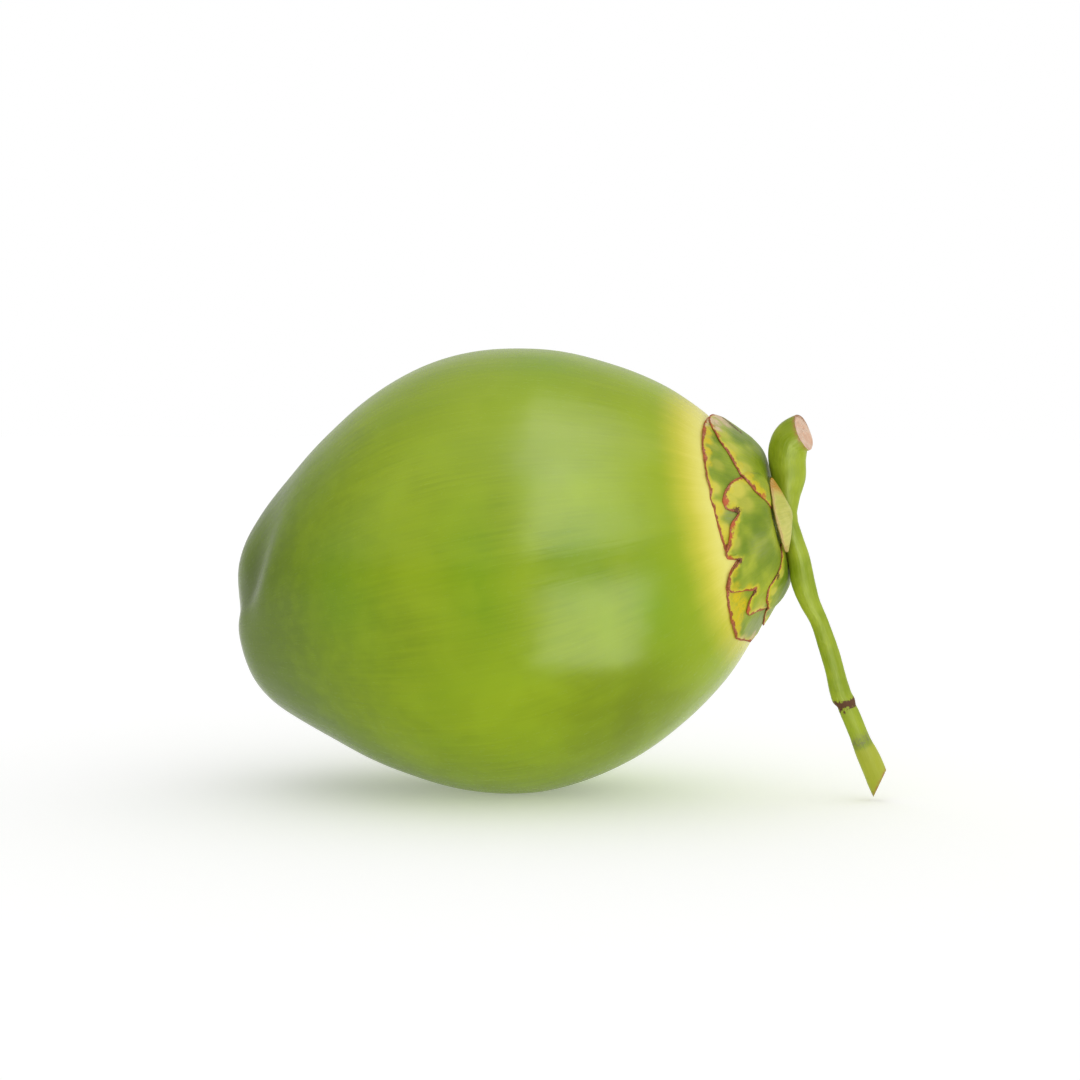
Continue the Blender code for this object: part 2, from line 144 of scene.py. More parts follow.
# places on the scales: turn in degrees, out and reach in millimetres, strength
DRIED_PLACES = {
    "petal_1": [(84, 40.5, 3.4, 1), (74, 41, 2.6, 1), (68, 41.4, 1.6, 0.7)],
    "sepal_3": [(75, 39.6, 3.4, 1), (86, 38.6, 3.8, 1), (68, 37.8, 1.8, 0.9),
                (82, 36, 2.4, 0.8)],
    "petal_2": [(-78, 42, 2.2, 0.8), (-64, 45.2, 1.4, 0.6)],
    "sepal_1": [(-60, 36.8, 1.3, 0.8), (-68, 34, 1.3, 0.8), (26, 35, 1.4, 0.5)],
}
GREY_AND_SHEEN_PLACES = {
    # the grey on petal_2 is a painted sheen on its lower side; elsewhere it is the scales' grey
    # tone
    "petal_2": [(-66, 41, 4.5, 0.9), (-77, 38, 6, 1)],
    "petal_1": [(7, 36.2, 3, 0.6)],
    "sepal_2": [(-76, 34.5, 3, 0.8)],
    "sepal_3": [(84, 33, 6, 0.6), (92, 24, 6, 0.5)],
    "sepal_1": [(-16, 29, 4.5, 0.35)],
}
PALE_PLACES = {
    "sepal_1": [(23, 33, 4.4, 1), (15, 35, 2.6, 0.9), (27, 29.6, 2.6, 0.6),
                (-8, 37.5, 3, 0.6), (-58, 35.5, 3.5, 0.5), (13, 30.6, 3.2, 0.55)],
    "sepal_2": [(-57, 29.6, 1.7, 0.9), (-52, 25, 1.5, 0.7)],
    "sepal_3": [(40, 29, 3, 0.6), (55, 33, 3, 0.6), (66, 36, 3, 0.5)],
    "petal_1": [(22, 40.2, 2.8, 1), (11, 39.6, 3, 1), (0, 39.2, 2.6, 1),
                (37, 37.6, 2.6, 0.4), (50, 38.6, 2.4, 0.3)],
    "petal_2": [(-30, 42.6, 2.4, 0.7)],
}
GOLDEN_PLACES = {
    "petal_1": [(66, 40.4, 1.7, 0.7), (60, 40.7, 2, 1), (52, 41, 2.1, 1),
                (44, 41.2, 2, 1), (36, 41.2, 1.7, 0.8), (10, 39.8, 1.8, 0.5)],
    "petal_2": [(-36, 41, 3.4, 1), (-44, 41.2, 3.8, 1), (-49, 43.8, 3.2, 1),
                (-55, 45, 1.8, 0.8)],
    "sepal_3": [(22, 24.6, 1.8, 0.8), (27, 26.6, 1.8, 0.8), (34, 28.4, 1.6, 0.7),
                (42, 30.6, 1.5, 0.6), (50, 32.4, 1.4, 0.5)],
    "sepal_1": [(-30, 41, 2, 0.6), (-37, 36.8, 1.8, 0.6), (-23, 40, 1.8, 0.6)],
}
RUST_PLACES = {
    "sepal_1": [(14.5, 37.6, 1.7, 1), (2, 36.8, 1.5, 0.9), (-4, 38.6, 1.6, 0.9),
                (-50, 39.4, 1.3, 1), (-15, 39.6, 1.2, 0.8)],
    "petal_1": [(-13, 40.2, 1.9, 0.9), (88, 40.4, 1.4, 0.8), (40, 42.2, 0.9, 0.8),
                (62, 41.8, 0.9, 0.9), (79, 40.8, 1.3, 0.8)],
    "sepal_3": [(68, 40, 1.6, 0.8), (61, 37.6, 1.3, 0.8), (20, 24, 1, 0.7)],
    "petal_2": [(-22, 41, 1.4, 0.8)],
}
DARK_SPOTS_AND_SHADE = {
    "sepal_1": [(9, 34, 1.5, 0.9), (-19, 36.8, 1.2, 0.8), (-44, 35, 1.3, 0.8)],
    # the last two on sepal_2 are painted shade where it meets the branch; the others are dark
    # spots
    "sepal_2": [(-49.4, 26.5, 1.2, 0.8), (-66, 17.5, 2.2, 0.6), (-74, 21, 2, 0.6)],
    "sepal_3": [(92, 39.4, 1.2, 0.9), (91.5, 38.2, 1.2, 0.9), (90.5, 37, 1.2, 0.9),
                (89.5, 35.8, 1.2, 0.9), (88, 34.6, 1.1, 0.8), (87, 33.4, 1.1, 0.8),
                (86, 32.2, 1.1, 0.7), (85.5, 31, 1, 0.6), (102, 39.6, 1.6, 0.7)],
    "petal_2": [(-84, 43.4, 1.4, 0.7)],
}
# painted shade: darker green where the scales lie in shade
SHADED_GREEN_PLACES = {
    "sepal_1": [(-4, 27.5, 4.2, 0.9), (4, 22.5, 4, 0.7), (-26, 27, 4.5, 0.8),
                (-13, 33, 3.6, 0.6), (-40, 24, 4, 0.6)],
    "sepal_2": [(-60, 23, 4.5, 0.9), (-72, 27, 4, 0.8)],
    "sepal_3": [(68, 22, 5, 0.8), (78, 30, 4.5, 0.7), (52, 26.5, 3, 0.4)],
    "petal_1": [(58, 37.6, 2.8, 0.7), (28, 34.6, 3.4, 0.7)],
}
SCALE_LAYERS = {"deep": SHADED_GREEN_PLACES,
                "dried": DRIED_PLACES, "grey": GREY_AND_SHEEN_PLACES, "pale": PALE_PLACES,
                "golden": GOLDEN_PLACES, "rust": RUST_PLACES, "dark": DARK_SPOTS_AND_SHADE}

# the two small scales at the foot of the branch: middle turn, half width in degrees
BRACTEOLES = {"bracteole_1": (1.0, 50.0), "bracteole_2": (186.0, 40.0)}
BRACTEOLE_FOOT_MM = (209.9, 18.0)     # along, out at the free lower margin
BRACTEOLE_BROW_MM = (214.6, 7.2)      # along, out where it grows from the branch
BRACTEOLE_ENDS_MM = (210.5, 18.0)     # along, out where its two margins meet
BRACTEOLE_BULGE = 1.5 * MM
BRACTEOLE_THICK = 0.8 * MM
BRACTEOLE_COLUMNS, BRACTEOLE_ROWS = 120, 26
BRACTEOLE_TIP_SHARE = 0.07
# its uneven free margin: seed, waves across and up it, height
BRACTEOLE_WAVES = ((41, 4.0, 1.0, 0.3 * MM), (44, 17.0, 2.0, 0.12 * MM))
BRACTEOLE_END, BRACTEOLE_END_WIDTH = 0.42, 0.34     # the dry upper end, as shares of a side
BRACTEOLE_EDGE = 0.25 * MM

# the branch from its cut stub to its thin tip: along, above the axis, sideways, radius
BRANCH_MM = [
    (230, 29, -3.2, 6.9), (226.6, 28.4, -2.4, 7), (223, 27.8, -1.6, 7.1),
    (219.7, 26, -0.8, 7.2), (217.2, 20.5, 0, 7.2), (216.1, 13.5, 0, 6.6),
    (213.6, 6, 0, 5.4), (211.7, -1.5, -0.8, 4.5), (213, -10, -3.8, 4.2),
    (213.9, -18, -6, 4.2), (213.8, -26, -6.5, 4.4), (214.7, -34, -6, 3.9),
    (216.3, -41, -5, 3.3), (217.4, -50, -4, 3.5), (218, -60, -3, 3.6),
    (218.4, -69.5, -2, 3.9), (219.6, -74.5, -1.5, 3.6), (221.5, -86, -0.8, 3.6),
    (223.9, -98, 0, 4.3), (226, -110, 0, 4),
]
BRANCH_RINGS = 330
BRANCH_SIDES = 72
BRANCH_RIBS = (5, 0.022)        # round it, height as a share of the radius
RIB_TWIST = 22.0                # radians for each metre of branch
OVAL_SHARE = 0.03               # how far the branch is from round
BRANCH_BUMPS = ((9.0 * MM, 0.22 * MM), (2.6 * MM, 0.05 * MM))     # size, height
STUB_CUT_MM = (225.4, 27.4, -1.8)
STUB_CUT_FACES = (0.86, 0.16, -0.22)
TIP_CUT_MM = (225.9, -104.6, 0.0)
TIP_CUT_FACES = (0.80, -0.60, 0.0)
CUT_RINGS = (0.965, 0.90, 0.80, 0.66, 0.50, 0.34, 0.18)      # share of the way out
CUT_HOLLOW = 0.7 * MM           # the fibres shrink back from the bark as they dry
SCAR_ABOVE_MM = -73.0           # the ring where a flower stalk broke off
SCAR_RISE, SCAR_DIP = 0.28 * MM, 0.24 * MM
SCAR_WIDTH = 1.9 * MM
SCAR_SLANT = 1.1 * MM           # the ring is higher on one side by twice this
CREVICE_SHADE_START, CREVICE_SHADE_REACH = 1.8 * MM, 3.4 * MM   # painted shade: the branch is darker near the scales, in the crease where shade falls
TIP_STAIN = 3.0 * MM            # reach of the brown corner at the thin end
SMEAR_BELOW, SMEAR_REACH = 2.6 * MM, 1.8 * MM       # of brown below the ring, on one side
GREY_SPOT_ABOVE_MM, GREY_REACH = -88.0, 2.2 * MM
YELLOW_FROM_ABOVE_MM, YELLOW_WIDTH = -90.5, 2.0 * MM
CUT_EDGES = (1.0 * MM, 0.7 * MM)    # reach of the bruised bark at each cut
CUT_DEPTH, CUT_SIDE = 6.0 * MM, 14.0 * MM     # places this near belong to a cut
FOOT_PROFILE_MM = [             # the cushion that the branch stands on: along, out
    (206, 14.6), (208.4, 14.8), (209.6, 14.6), (210.5, 13.8), (211.2, 12.2),
    (211.9, 9.8), (212.8, 7.6), (214, 6),
]
FOOT_SIDES, FOOT_RINGS = 96, 26
# the crease where the branch meets its cushion: along, out, gap to the branch's surface
JOIN_FROM, JOIN_TO, JOIN_OUT, JOIN_GAP = 209.0 * MM, 214.5 * MM, 12.0 * MM, 2.0 * MM
JOIN_PASSES = 10                # of smoothing


# ---- colours, from 0 to 255

GREEN_DEEP = (136, 164, 22)
GREEN_MID = (153, 180, 30)
GREEN_YELLOW = (172, 192, 36)
GREEN_OLIVE = (144, 158, 16)
GREEN_BLUNT_END = (98, 124, 22)
# darker green of the blunt tip; in the grooves the same green is painted shade
BLUNT_GREEN_AND_GROOVE_SHADE = (82, 98, 34)
PATCH_GREENS = {"olive_shade": (122, 142, 4), "fresh": (112, 158, 8), "light": (176, 202, 56)}
RING_YELLOW = (226, 216, 74)
RING_PALE = (252, 246, 146)
DRY_BROWN = (140, 74, 38)
DRY_RUST = (178, 96, 42)
DRY_ROSE = (196, 122, 92)
DRY_BEIGE = (222, 192, 160)
# deep green, bright green, widths of the dry and of the yellow margin
PETAL_SKIN = ((124, 148, 26), (158, 176, 48), 0.55 * MM, 3.0 * MM)
SEPAL_SKIN = ((126, 150, 26), (174, 186, 52), 0.6 * MM, 2.2 * MM)
STUB_WOOD = ((250, 202, 168), (254, 220, 192), (176, 126, 86))    # wood, shade, rim
TIP_WOOD = ((176, 178, 74), (160, 160, 66), (150, 140, 70))
SKIN_IOR = 1.45


# ---- camera and light

CAMERA_LENS = 85.0
CAMERA_SENSOR = 36.0
CAMERA_TURN = math.radians(12.0)      # to the right of straight on
CAMERA_RISE = math.radians(4.0)
CAMERA_DISTANCE = 0.972
CAMERA_AIM_ALONG = 100.0 * MM         # a point on the fruit's axis
CAMERA_SHIFT = (0.0394, 0.0320)
FLOOR_HALF = 8.0
FLOOR_COLOUR = (0.9, 0.9, 0.9, 1.0)
FLOOR_GLOW = 0.25
ROOM_LEVEL, DIM_LEVEL = 0.95, 0.4
DIM_SIDE = tuple(Vector((-0.9, -0.55, -0.1)).normalized())
MIRRORED_LEVEL = 1.7            # of the soft white to the front left
BEHIND_DIMMER = 0.25            # how much less the skin mirrors of the room behind it
# tall panels to the front right: turn from straight on, width in degrees, radiance
PANELS = ((21.5, 19.0, 7.4), (38.5, 15.0, 7.4), (52.5, 13.0, 5.2), (65.0, 12.0, 1.8),
          (77.0, 12.0, 0.6))
PANEL_DISTANCE = 1.3
PANEL_FOOT, PANEL_HEAD = 0.40, 2.2
# panels overhead on the same side: middle, size, radiance
CEILING = 2.2
CEILING_PANELS = (((0.52, -0.62), (0.95, 1.35), 6.0), ((1.3, -0.3), (0.6, 1.6), 2.5),
                  ((0.52, 0.35), (0.95, 0.55), 2.5))
CARD_START = (0.058, -0.069)    # on the floor, where the fan of white cards begins
CARD_TURN = math.radians(40.0)
CARD_WIDTH, CARD_SPREAD = 0.062, 0.66         # at the start, and more for each metre out
CARD_STEPS = (0.035, 0.08, 0.16, 0.32, 0.65, 1.4)
CARD_LEVEL = 7.4
CARD_ABOVE = 2.0 * MM


# ---- shape formulas

def smooth_curve(points, count, spatial=None):
    """A smooth curve through the points, read at count places evenly along its length."""
    points = np.array(points, float)
    spatial = spatial or points.shape[1]
    chords = np.linalg.norm(np.diff(points[:, :spatial], axis=0), axis=1)
    knots = np.concatenate([[0.0], np.cumsum(np.sqrt(chords))])
    slopes = np.gradient(points, knots, axis=0)
    fine = np.linspace(0.0, knots[-1], CURVE_SAMPLES * len(points))
    span = np.clip(np.searchsorted(knots, fine, side="right") - 1, 0, len(knots) - 2)
    width = (knots[span + 1] - knots[span])[:, None]
    t = ((fine - knots[span]) / width[:, 0])[:, None]
    curve = ((2 * t**3 - 3 * t**2 + 1) * points[span]
             + (t**3 - 2 * t**2 + t) * width * slopes[span]
             + (3 * t**2 - 2 * t**3) * points[span + 1]
             + (t**3 - t**2) * width * slopes[span + 1])
    steps = np.linalg.norm(np.diff(curve[:, :spatial], axis=0), axis=1)
    length = np.concatenate([[0.0], np.cumsum(steps)])
    even = np.linspace(0.0, length[-1], count)
    columns = [np.interp(even, length, curve[:, k]) for k in range(points.shape[1])]
    return np.stack(columns, axis=1), even


OUTLINE, OUTLINE_LENGTH = smooth_curve(np.array(HUSK_OUTLINE_MM) * MM, OUTLINE_SAMPLES)
OUTLINE[:, 1] = np.maximum(OUTLINE[:, 1], 0.0)
OUTLINE_SLOPE = np.gradient(OUTLINE, OUTLINE_LENGTH, axis=0)
OUTLINE_SLOPE /= np.linalg.norm(OUTLINE_SLOPE, axis=1)[:, None]
STEM_HALF = int(np.argmax(OUTLINE[:, 1]))


def ease(share):
    """0 up to 0, 1 from 1 on, and smooth between."""
    share = np.clip(share, 0.0, 1.0)
    return share * share * (3.0 - 2.0 * share)


def hump(away, reach):
    """1 in the middle, falling smoothly to nothing past its reach."""
    return np.exp(-(away / reach) ** 2)


def turn_between(turn_deg, middle):
    """Degrees from a middle turn to these, the short way round."""
    return (turn_deg - middle + 180.0) % 360.0 - 180.0


def rough(points, size, seed):
    """Smooth random heights from about -1 to 1 at points, with hills of this size."""
    shift = Vector((seed * 3.1, seed * 7.7, seed * 1.3))
    return np.array([noise.noise(Vector(p) / size + shift) for p in points])


def rough_at(seed, first, second=0.0, third=0.0):
    """The same at places given as coordinates, with hills of size 1."""
    return rough(np.stack(np.broadcast_arrays(first, second, third), axis=1), 1.0, seed)


def leaned(along, above):
    """Forward and up in the room, from along and above in the fruit's own frame."""
    return (along * math.cos(TILT) - above * math.sin(TILT),
            along * math.sin(TILT) + above * math.cos(TILT))


def fruit_start():
    """Where the fruit's axis starts in the room: the flat spot's middle is the origin."""
    forward, up = leaned(OUTLINE[:, 0], -OUTLINE[:, 1])
    lowest = int(np.argmin(up))
    return -forward[lowest], -up[lowest] - REST_CUT


AXIS_X, AXIS_Z = fruit_start()


def in_room(along, sideways, above):
    """Points in the room from the fruit's own frame, one row each."""
    x, z = leaned(along, above)
    return np.stack([x + AXIS_X, sideways + 0.0 * x, z + AXIS_Z], axis=-1)


def around_axis(along, out, turn):
    return in_room(along, -out * np.cos(turn), out * np.sin(turn))


def fruit_places(points):
    """Along and above in the fruit's own frame, and the distance out, of points in the room."""
    x, z = points[:, 0] - AXIS_X, points[:, 2] - AXIS_Z
    along = x * math.cos(TILT) + z * math.sin(TILT)
    above = z * math.cos(TILT) - x * math.sin(TILT)
    return along, np.hypot(above, points[:, 1])


def untwisted(distance, turn):
    """The turn that a place on the skin had at the blunt end, in degrees."""
    return np.degrees(turn) - TWIST * ease((distance - TWIST_FROM) / (TWIST_TO - TWIST_FROM))


def groove_depth(distance, turn, grooves=GROOVES):
    """How deep the grooves between the lobes are, by distance from the blunt end."""
    turn_deg = untwisted(distance, turn)
    share = np.minimum(1.0, distance / LOBE_TIP_AT) * hump(
        distance - GROOVE_DEEPEST, GROOVE_REACH)
    total = 0.0 * distance
    for middle, depth in grooves:
        away = turn_between(turn_deg, middle)
        side = np.where(away < 0.0, GROOVE_STEEP_SIDE, GROOVE_EASY_SIDE)
        total += share * depth * hump(away, side)
    return total


def lobe_offset(distance, turn):
    """How far the husk stands out from its turned shape, by distance from the blunt end."""
    turn_deg = untwisted(distance, turn)
    share = distance / OUTLINE_LENGTH[-1]
    swell = LOBE_SWELL * np.sin(np.pi * share) ** 2
    offset = swell * np.cos(3.0 * np.radians(turn_deg - LOBES[0][0]))
    near_tip = np.minimum(1.0, distance / LOBE_TIP_AT) * hump(
        distance - LOBE_TIP_AT, LOBE_TIP_REACH)
    for middle, rise in LOBES:
        offset += near_tip * rise * hump(turn_between(turn_deg, middle), LOBE_HALF_WIDTH)
    return offset - groove_depth(distance, turn)


def at_distance(table, distance):
    return [np.interp(distance, OUTLINE_LENGTH, table[:, k]) for k in range(2)]


def at_stem_end(out, values):
    """A value of the husk's outline at the stem end, by distance out from the axis."""
    return np.interp(out, OUTLINE[STEM_HALF:, 1][::-1], values[STEM_HALF:][::-1])


def crown(out, turn, lift):
    """Points above the husk's stem end, at a distance out from the axis, lifted off it."""
    along = at_stem_end(out, OUTLINE[:, 0])
    facing_along = -at_stem_end(out, OUTLINE_SLOPE[:, 1])
    facing_out = at_stem_end(out, OUTLINE_SLOPE[:, 0])
    return around_axis(along + lift * facing_along, out + lift * facing_out, turn)


def crown_distance(out):
    """Distance over the surface from the middle of the stem end."""
    return at_stem_end(out, OUTLINE_LENGTH[-1] - OUTLINE_LENGTH)


def nearest_on(line, points):
    """The nearest point of a dense line to each point: its number and its distance."""
    nearest = np.zeros(len(points), int)
    for start in range(0, len(points), NEAREST_BATCH):
        part = points[start:start + NEAREST_BATCH]
        gaps = np.linalg.norm(part[:, None, :] - line[None, :, :], axis=2)
        nearest[start:start + NEAREST_BATCH] = gaps.argmin(axis=1)
    return nearest, np.linalg.norm(points - line[nearest], axis=1)


# ---- mesh helpers

def sheet_quads(rows, columns, closed=False):
    """Corner numbers of the quads between rows of points, each row columns long."""
    quads = []
    for row in range(rows - 1):
        here, above = row * columns, (row + 1) * columns
        for column in range(columns if closed else columns - 1):
            beside = (column + 1) % columns
            quads.append((here + column, here + beside, above + beside, above + column))
    return quads


def new_mesh(name, points, faces):
    mesh = bpy.data.meshes.new(name)
    mesh.from_pydata([tuple(p) for p in points], [], faces)
    mesh.validate()
    mesh.shade_smooth()
    return mesh


def rework(mesh, change):
    """Passes a mesh through bmesh, where change works on it."""
    body = bmesh.new()
    body.from_mesh(mesh)
    change(body)
    body.to_mesh(mesh)
    body.free()
    return mesh


def write_values(mesh, **tables):
    """Keeps one number or one vector per vertex, by name, for the material to read."""
    for name, values in tables.items():
        values = np.asarray(values, np.float32)
        kind, field = ("FLOAT", "value") if values.ndim == 1 else ("FLOAT_VECTOR", "vector")
        mesh.attributes.new(name, kind, "POINT").data.foreach_set(field, values.ravel())


def read_points(mesh):
    points = np.zeros(len(mesh.vertices) * 3)
    mesh.vertices.foreach_get("co", points)
    return points.reshape(-1, 3)


def fibre_places(turn, distance):
    """Places on a tube, for grain that runs lengthwise: round it, then along it in metres."""
    return np.stack([np.cos(turn), np.sin(turn), distance], axis=-1)


def add_object(name, data):
    item = bpy.data.objects.new(name, data)
    bpy.context.scene.collection.objects.link(item)
    return item


def add_piece(name, mesh, node, slot, *materials):
    piece = add_object(name, mesh)
    for material in materials:
        mesh.materials.append(material)
    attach(piece, "root")
    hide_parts(node)
    return piece


def thicken(piece, thickness, weights=""):
    """Gives a sheet its thickness, outwards, less where the vertex group says so."""
    shell = piece.modifiers.new("thickness", "SOLIDIFY")
    shell.thickness = thickness
    shell.offset = 1.0
    shell.vertex_group = weights


# ---- node helpers

def paint(red, green, blue):
    """A colour as a colour card gives it, from 0 to 255, made linear."""
    return tuple((c / 255.0) ** 2.2 for c in (red, green, blue)) + (1.0,)


def plug(socket, value):
    """Wires a socket to another, or sets it; a colour is given as for paint."""
    if isinstance(value, bpy.types.NodeSocket):
        socket.id_data.links.new(value, socket)
    elif socket.type == "RGBA":
        socket.default_value = paint(*value)
    else:
        socket.default_value = value


def add_node(tree, kind, *given, **named):
    """A shader node's outputs; inputs come in order or by name, and settings by name."""
    item = tree.nodes.new("ShaderNode" + kind)
    for key, value in named.items():
        if hasattr(item, key):
            setattr(item, key, value)
        else:
            plug(item.inputs[key.replace("_", " ")], value)
    for socket, value in zip(item.inputs, given):
        plug(socket, value)
    return item.outputs


def tree_of(*values):
    return next(value.id_data for value in values if isinstance(value, bpy.types.NodeSocket))


def math_node(operation, first, second):
    return add_node(tree_of(first, second), "Math", first, second, operation=operation)[0]


def times(first, second):
    return math_node("MULTIPLY", first, second)


def total(*terms):
    """The sum of some values; a term in brackets is a value and its weight."""
    parts = [times(*term) if isinstance(term, tuple) else term for term in terms]
    result = parts[0]
    for part in parts[1:]:
        result = math_node("ADD", result, part)
    return result


def stretch(value, low, high, to_low=0.0, to_high=1.0):
    """Maps a value from one range to another, smoothly and without going past."""
    return add_node(tree_of(value), "MapRange", value, low, high, to_low, to_high,
                    interpolation_type="SMOOTHSTEP")[0]


def spread(value, to_low, to_high):
    """Maps a value from 0 to 1 to another range."""
    return stretch(value, 0.0, 1.0, to_low, to_high)


def blend(share, first, second):
    """One colour where share is 0, the other where it is 1."""
    item = tree_of(share).nodes.new("ShaderNodeMix")
    item.data_type = "RGBA"
    for number, value in ((0, share), (6, first), (7, second)):
        plug(item.inputs[number], value)
    return item.outputs[2]


def lay_over(colour, *layers):
    """Lays colours over one another; each says where it shows, its colour, how strongly."""
    for share, over, *strength in layers:
        if isinstance(share, str):
            share = vertex_value(colour.id_data, share)
        colour = blend(times(share, *strength) if strength else share, colour, over)
    return colour


def vertex_value(tree, name, output="Fac"):
    return add_node(tree, "Attribute", attribute_name=name)[output]


def grain_places(tree):
    return vertex_value(tree, "fibres", "Vector")


def use_group(group, places, **values):
    return add_node(tree_of(places), "Group", node_tree=group, Places=places, **values)


def new_group(name, makes, **floats):
    """A node group that takes places and numbers: itself, what it is given, what it makes."""
    group = bpy.data.node_groups.new(name, "ShaderNodeTree")
    group.interface.new_socket("Places", in_out="INPUT", socket_type="NodeSocketVector")
    for key, value in floats.items():
        group.interface.new_socket(key.replace("_", " "), in_out="INPUT",
                                   socket_type="NodeSocketFloat").default_value = value
    for key in makes:
        group.interface.new_socket(key, in_out="OUTPUT", socket_type="NodeSocketFloat")
    given = group.nodes.new("NodeGroupInput").outputs
    return group, given, group.nodes.new("NodeGroupOutput").inputs


def sharpen(noise_value, contrast):
    """Spreads a noise about its middle, the more the less contrast is left each side."""
    return stretch(noise_value, math_node("SUBTRACT", 0.5, contrast),
                   math_node("ADD", 0.5, contrast))


# ---- shared effects

def lengthwise_fibres():
    """Fine streaks that run along the fruit or the branch, fading in and out."""
    group, given, made = new_group("lengthwise fibres", ("Streaks", "Threads"),
                                   Round=60.0, Lengthwise=40.0, Contrast=0.2)
    scale = add_node(group, "CombineXYZ", given["Round"], given["Round"], given["Lengthwise"])
    places = add_node(group, "VectorMath", given["Places"], scale[0], operation="MULTIPLY")[0]
    broad = add_node(group, "TexNoise", Vector=places, Scale=1.0, Detail=3.0, Roughness=0.6)
    fine = add_node(group, "TexNoise", Vector=places, Scale=3.1, Detail=2.0, Roughness=0.5)
    plug(made["Streaks"], sharpen(broad[0], given["Contrast"]))
    plug(made["Threads"], sharpen(fine[0], given["Contrast"]))
    return group


def soft_mottling():
    """Broad, soft clouds of colour, and finer ones inside them."""
    group, given, made = new_group("soft mottling", ("Clouds", "Grain"), Size=0.03, Contrast=0.2)
    scale = math_node("DIVIDE", 1.0, given["Size"])
    clouds = add_node(group, "TexNoise", Vector=given["Places"], Scale=scale, Detail=2.0,
                      Roughness=0.45, Distortion=0.4)
    grain = add_node(group, "TexNoise", Vector=given["Places"], Scale=times(scale, 9.0),
                     Detail=4.0, Roughness=0.6)
    plug(made["Clouds"], sharpen(clouds[0], given["Contrast"]))
    plug(made["Grain"], sharpen(grain[0], given["Contrast"]))
    return group


def dry_margin():
    """Where a scale is dry and brown along its margin, and yellow inside that."""
    group, given, made = new_group("dry margin", ("Dry", "Yellow"), From_margin=0.0,
                                   Dry_width=0.8 * MM, Yellow_width=3.0 * MM)
    waver = add_node(group, "TexNoise", Vector=given["Places"], Scale=420.0, Detail=3.0,
                     Roughness=0.65)
    drift = add_node(group, "TexNoise", Vector=given["Places"], Scale=120.0, Detail=2.0,
                     Roughness=0.5)
    wide = stretch(drift[0], 0.3, 0.7, 0.45, 1.7)
    dry = times(times(given["Dry width"], stretch(waver[0], 0.3, 0.7, 0.35, 1.5)), wide)
    yellow = total(dry, (given["Yellow width"], wide))
    edge = given["From margin"]
    plug(made["Dry"], stretch(edge, dry, times(dry, 1.5), 1.0, 0.0))
    plug(made["Yellow"], stretch(edge, dry, yellow, 1.0, 0.0))
    return group


def small_flecks():
    """A few small specks, most of them faint."""
    group, given, made = new_group("small flecks", ("Flecks",), Spacing=0.006, Radius=0.12,
                                   Share=0.3)
    cells = add_node(group, "TexVoronoi", Vector=given["Places"],
                     Scale=math_node("DIVIDE", 1.0, given["Spacing"]))
    chance = add_node(group, "SeparateColor", cells["Color"])
    kept = math_node("LESS_THAN", chance[0], given["Share"])
    size = times(chance[1], given["Radius"])
    plug(made["Flecks"], times(stretch(cells["Distance"], 0.0, size, 1.0, 0.0), kept))
    return group


FIBRES = lengthwise_fibres()
MOTTLING = soft_mottling()
MARGIN = dry_margin()
FLECKS = small_flecks()


# ---- finishes

def start_material(name):
    """A new material: its tree, and the places on the piece."""
    material = bpy.data.materials.new(name)
    material.use_nodes = True
    tree = material.node_tree
    return tree, add_node(tree, "TexCoord")["Object"]


def finish_material(name, colour, roughness, height, depth, strength, specular):
    """Wires a material's colour, roughness, and relief that is too fine for the mesh."""
    material = bpy.data.materials[name]
    shader = material.node_tree.nodes["Principled BSDF"].inputs
    shader["IOR"].default_value = SKIN_IOR
    shader["Specular IOR Level"].default_value = specular
    plug(shader["Base Color"], colour)
    plug(shader["Roughness"], roughness)
    bump = add_node(material.node_tree, "Bump", Height=height, Distance=depth,
                    Strength=strength)
    plug(shader["Normal"], bump[0])
    return material


def ragged_place(tree, name, grain):
    """A place on a piece with its edge broken up by fine grain."""
    return stretch(total(vertex_value(tree, name), spread(grain, -0.3, 0.3)), 0.3, 0.75)


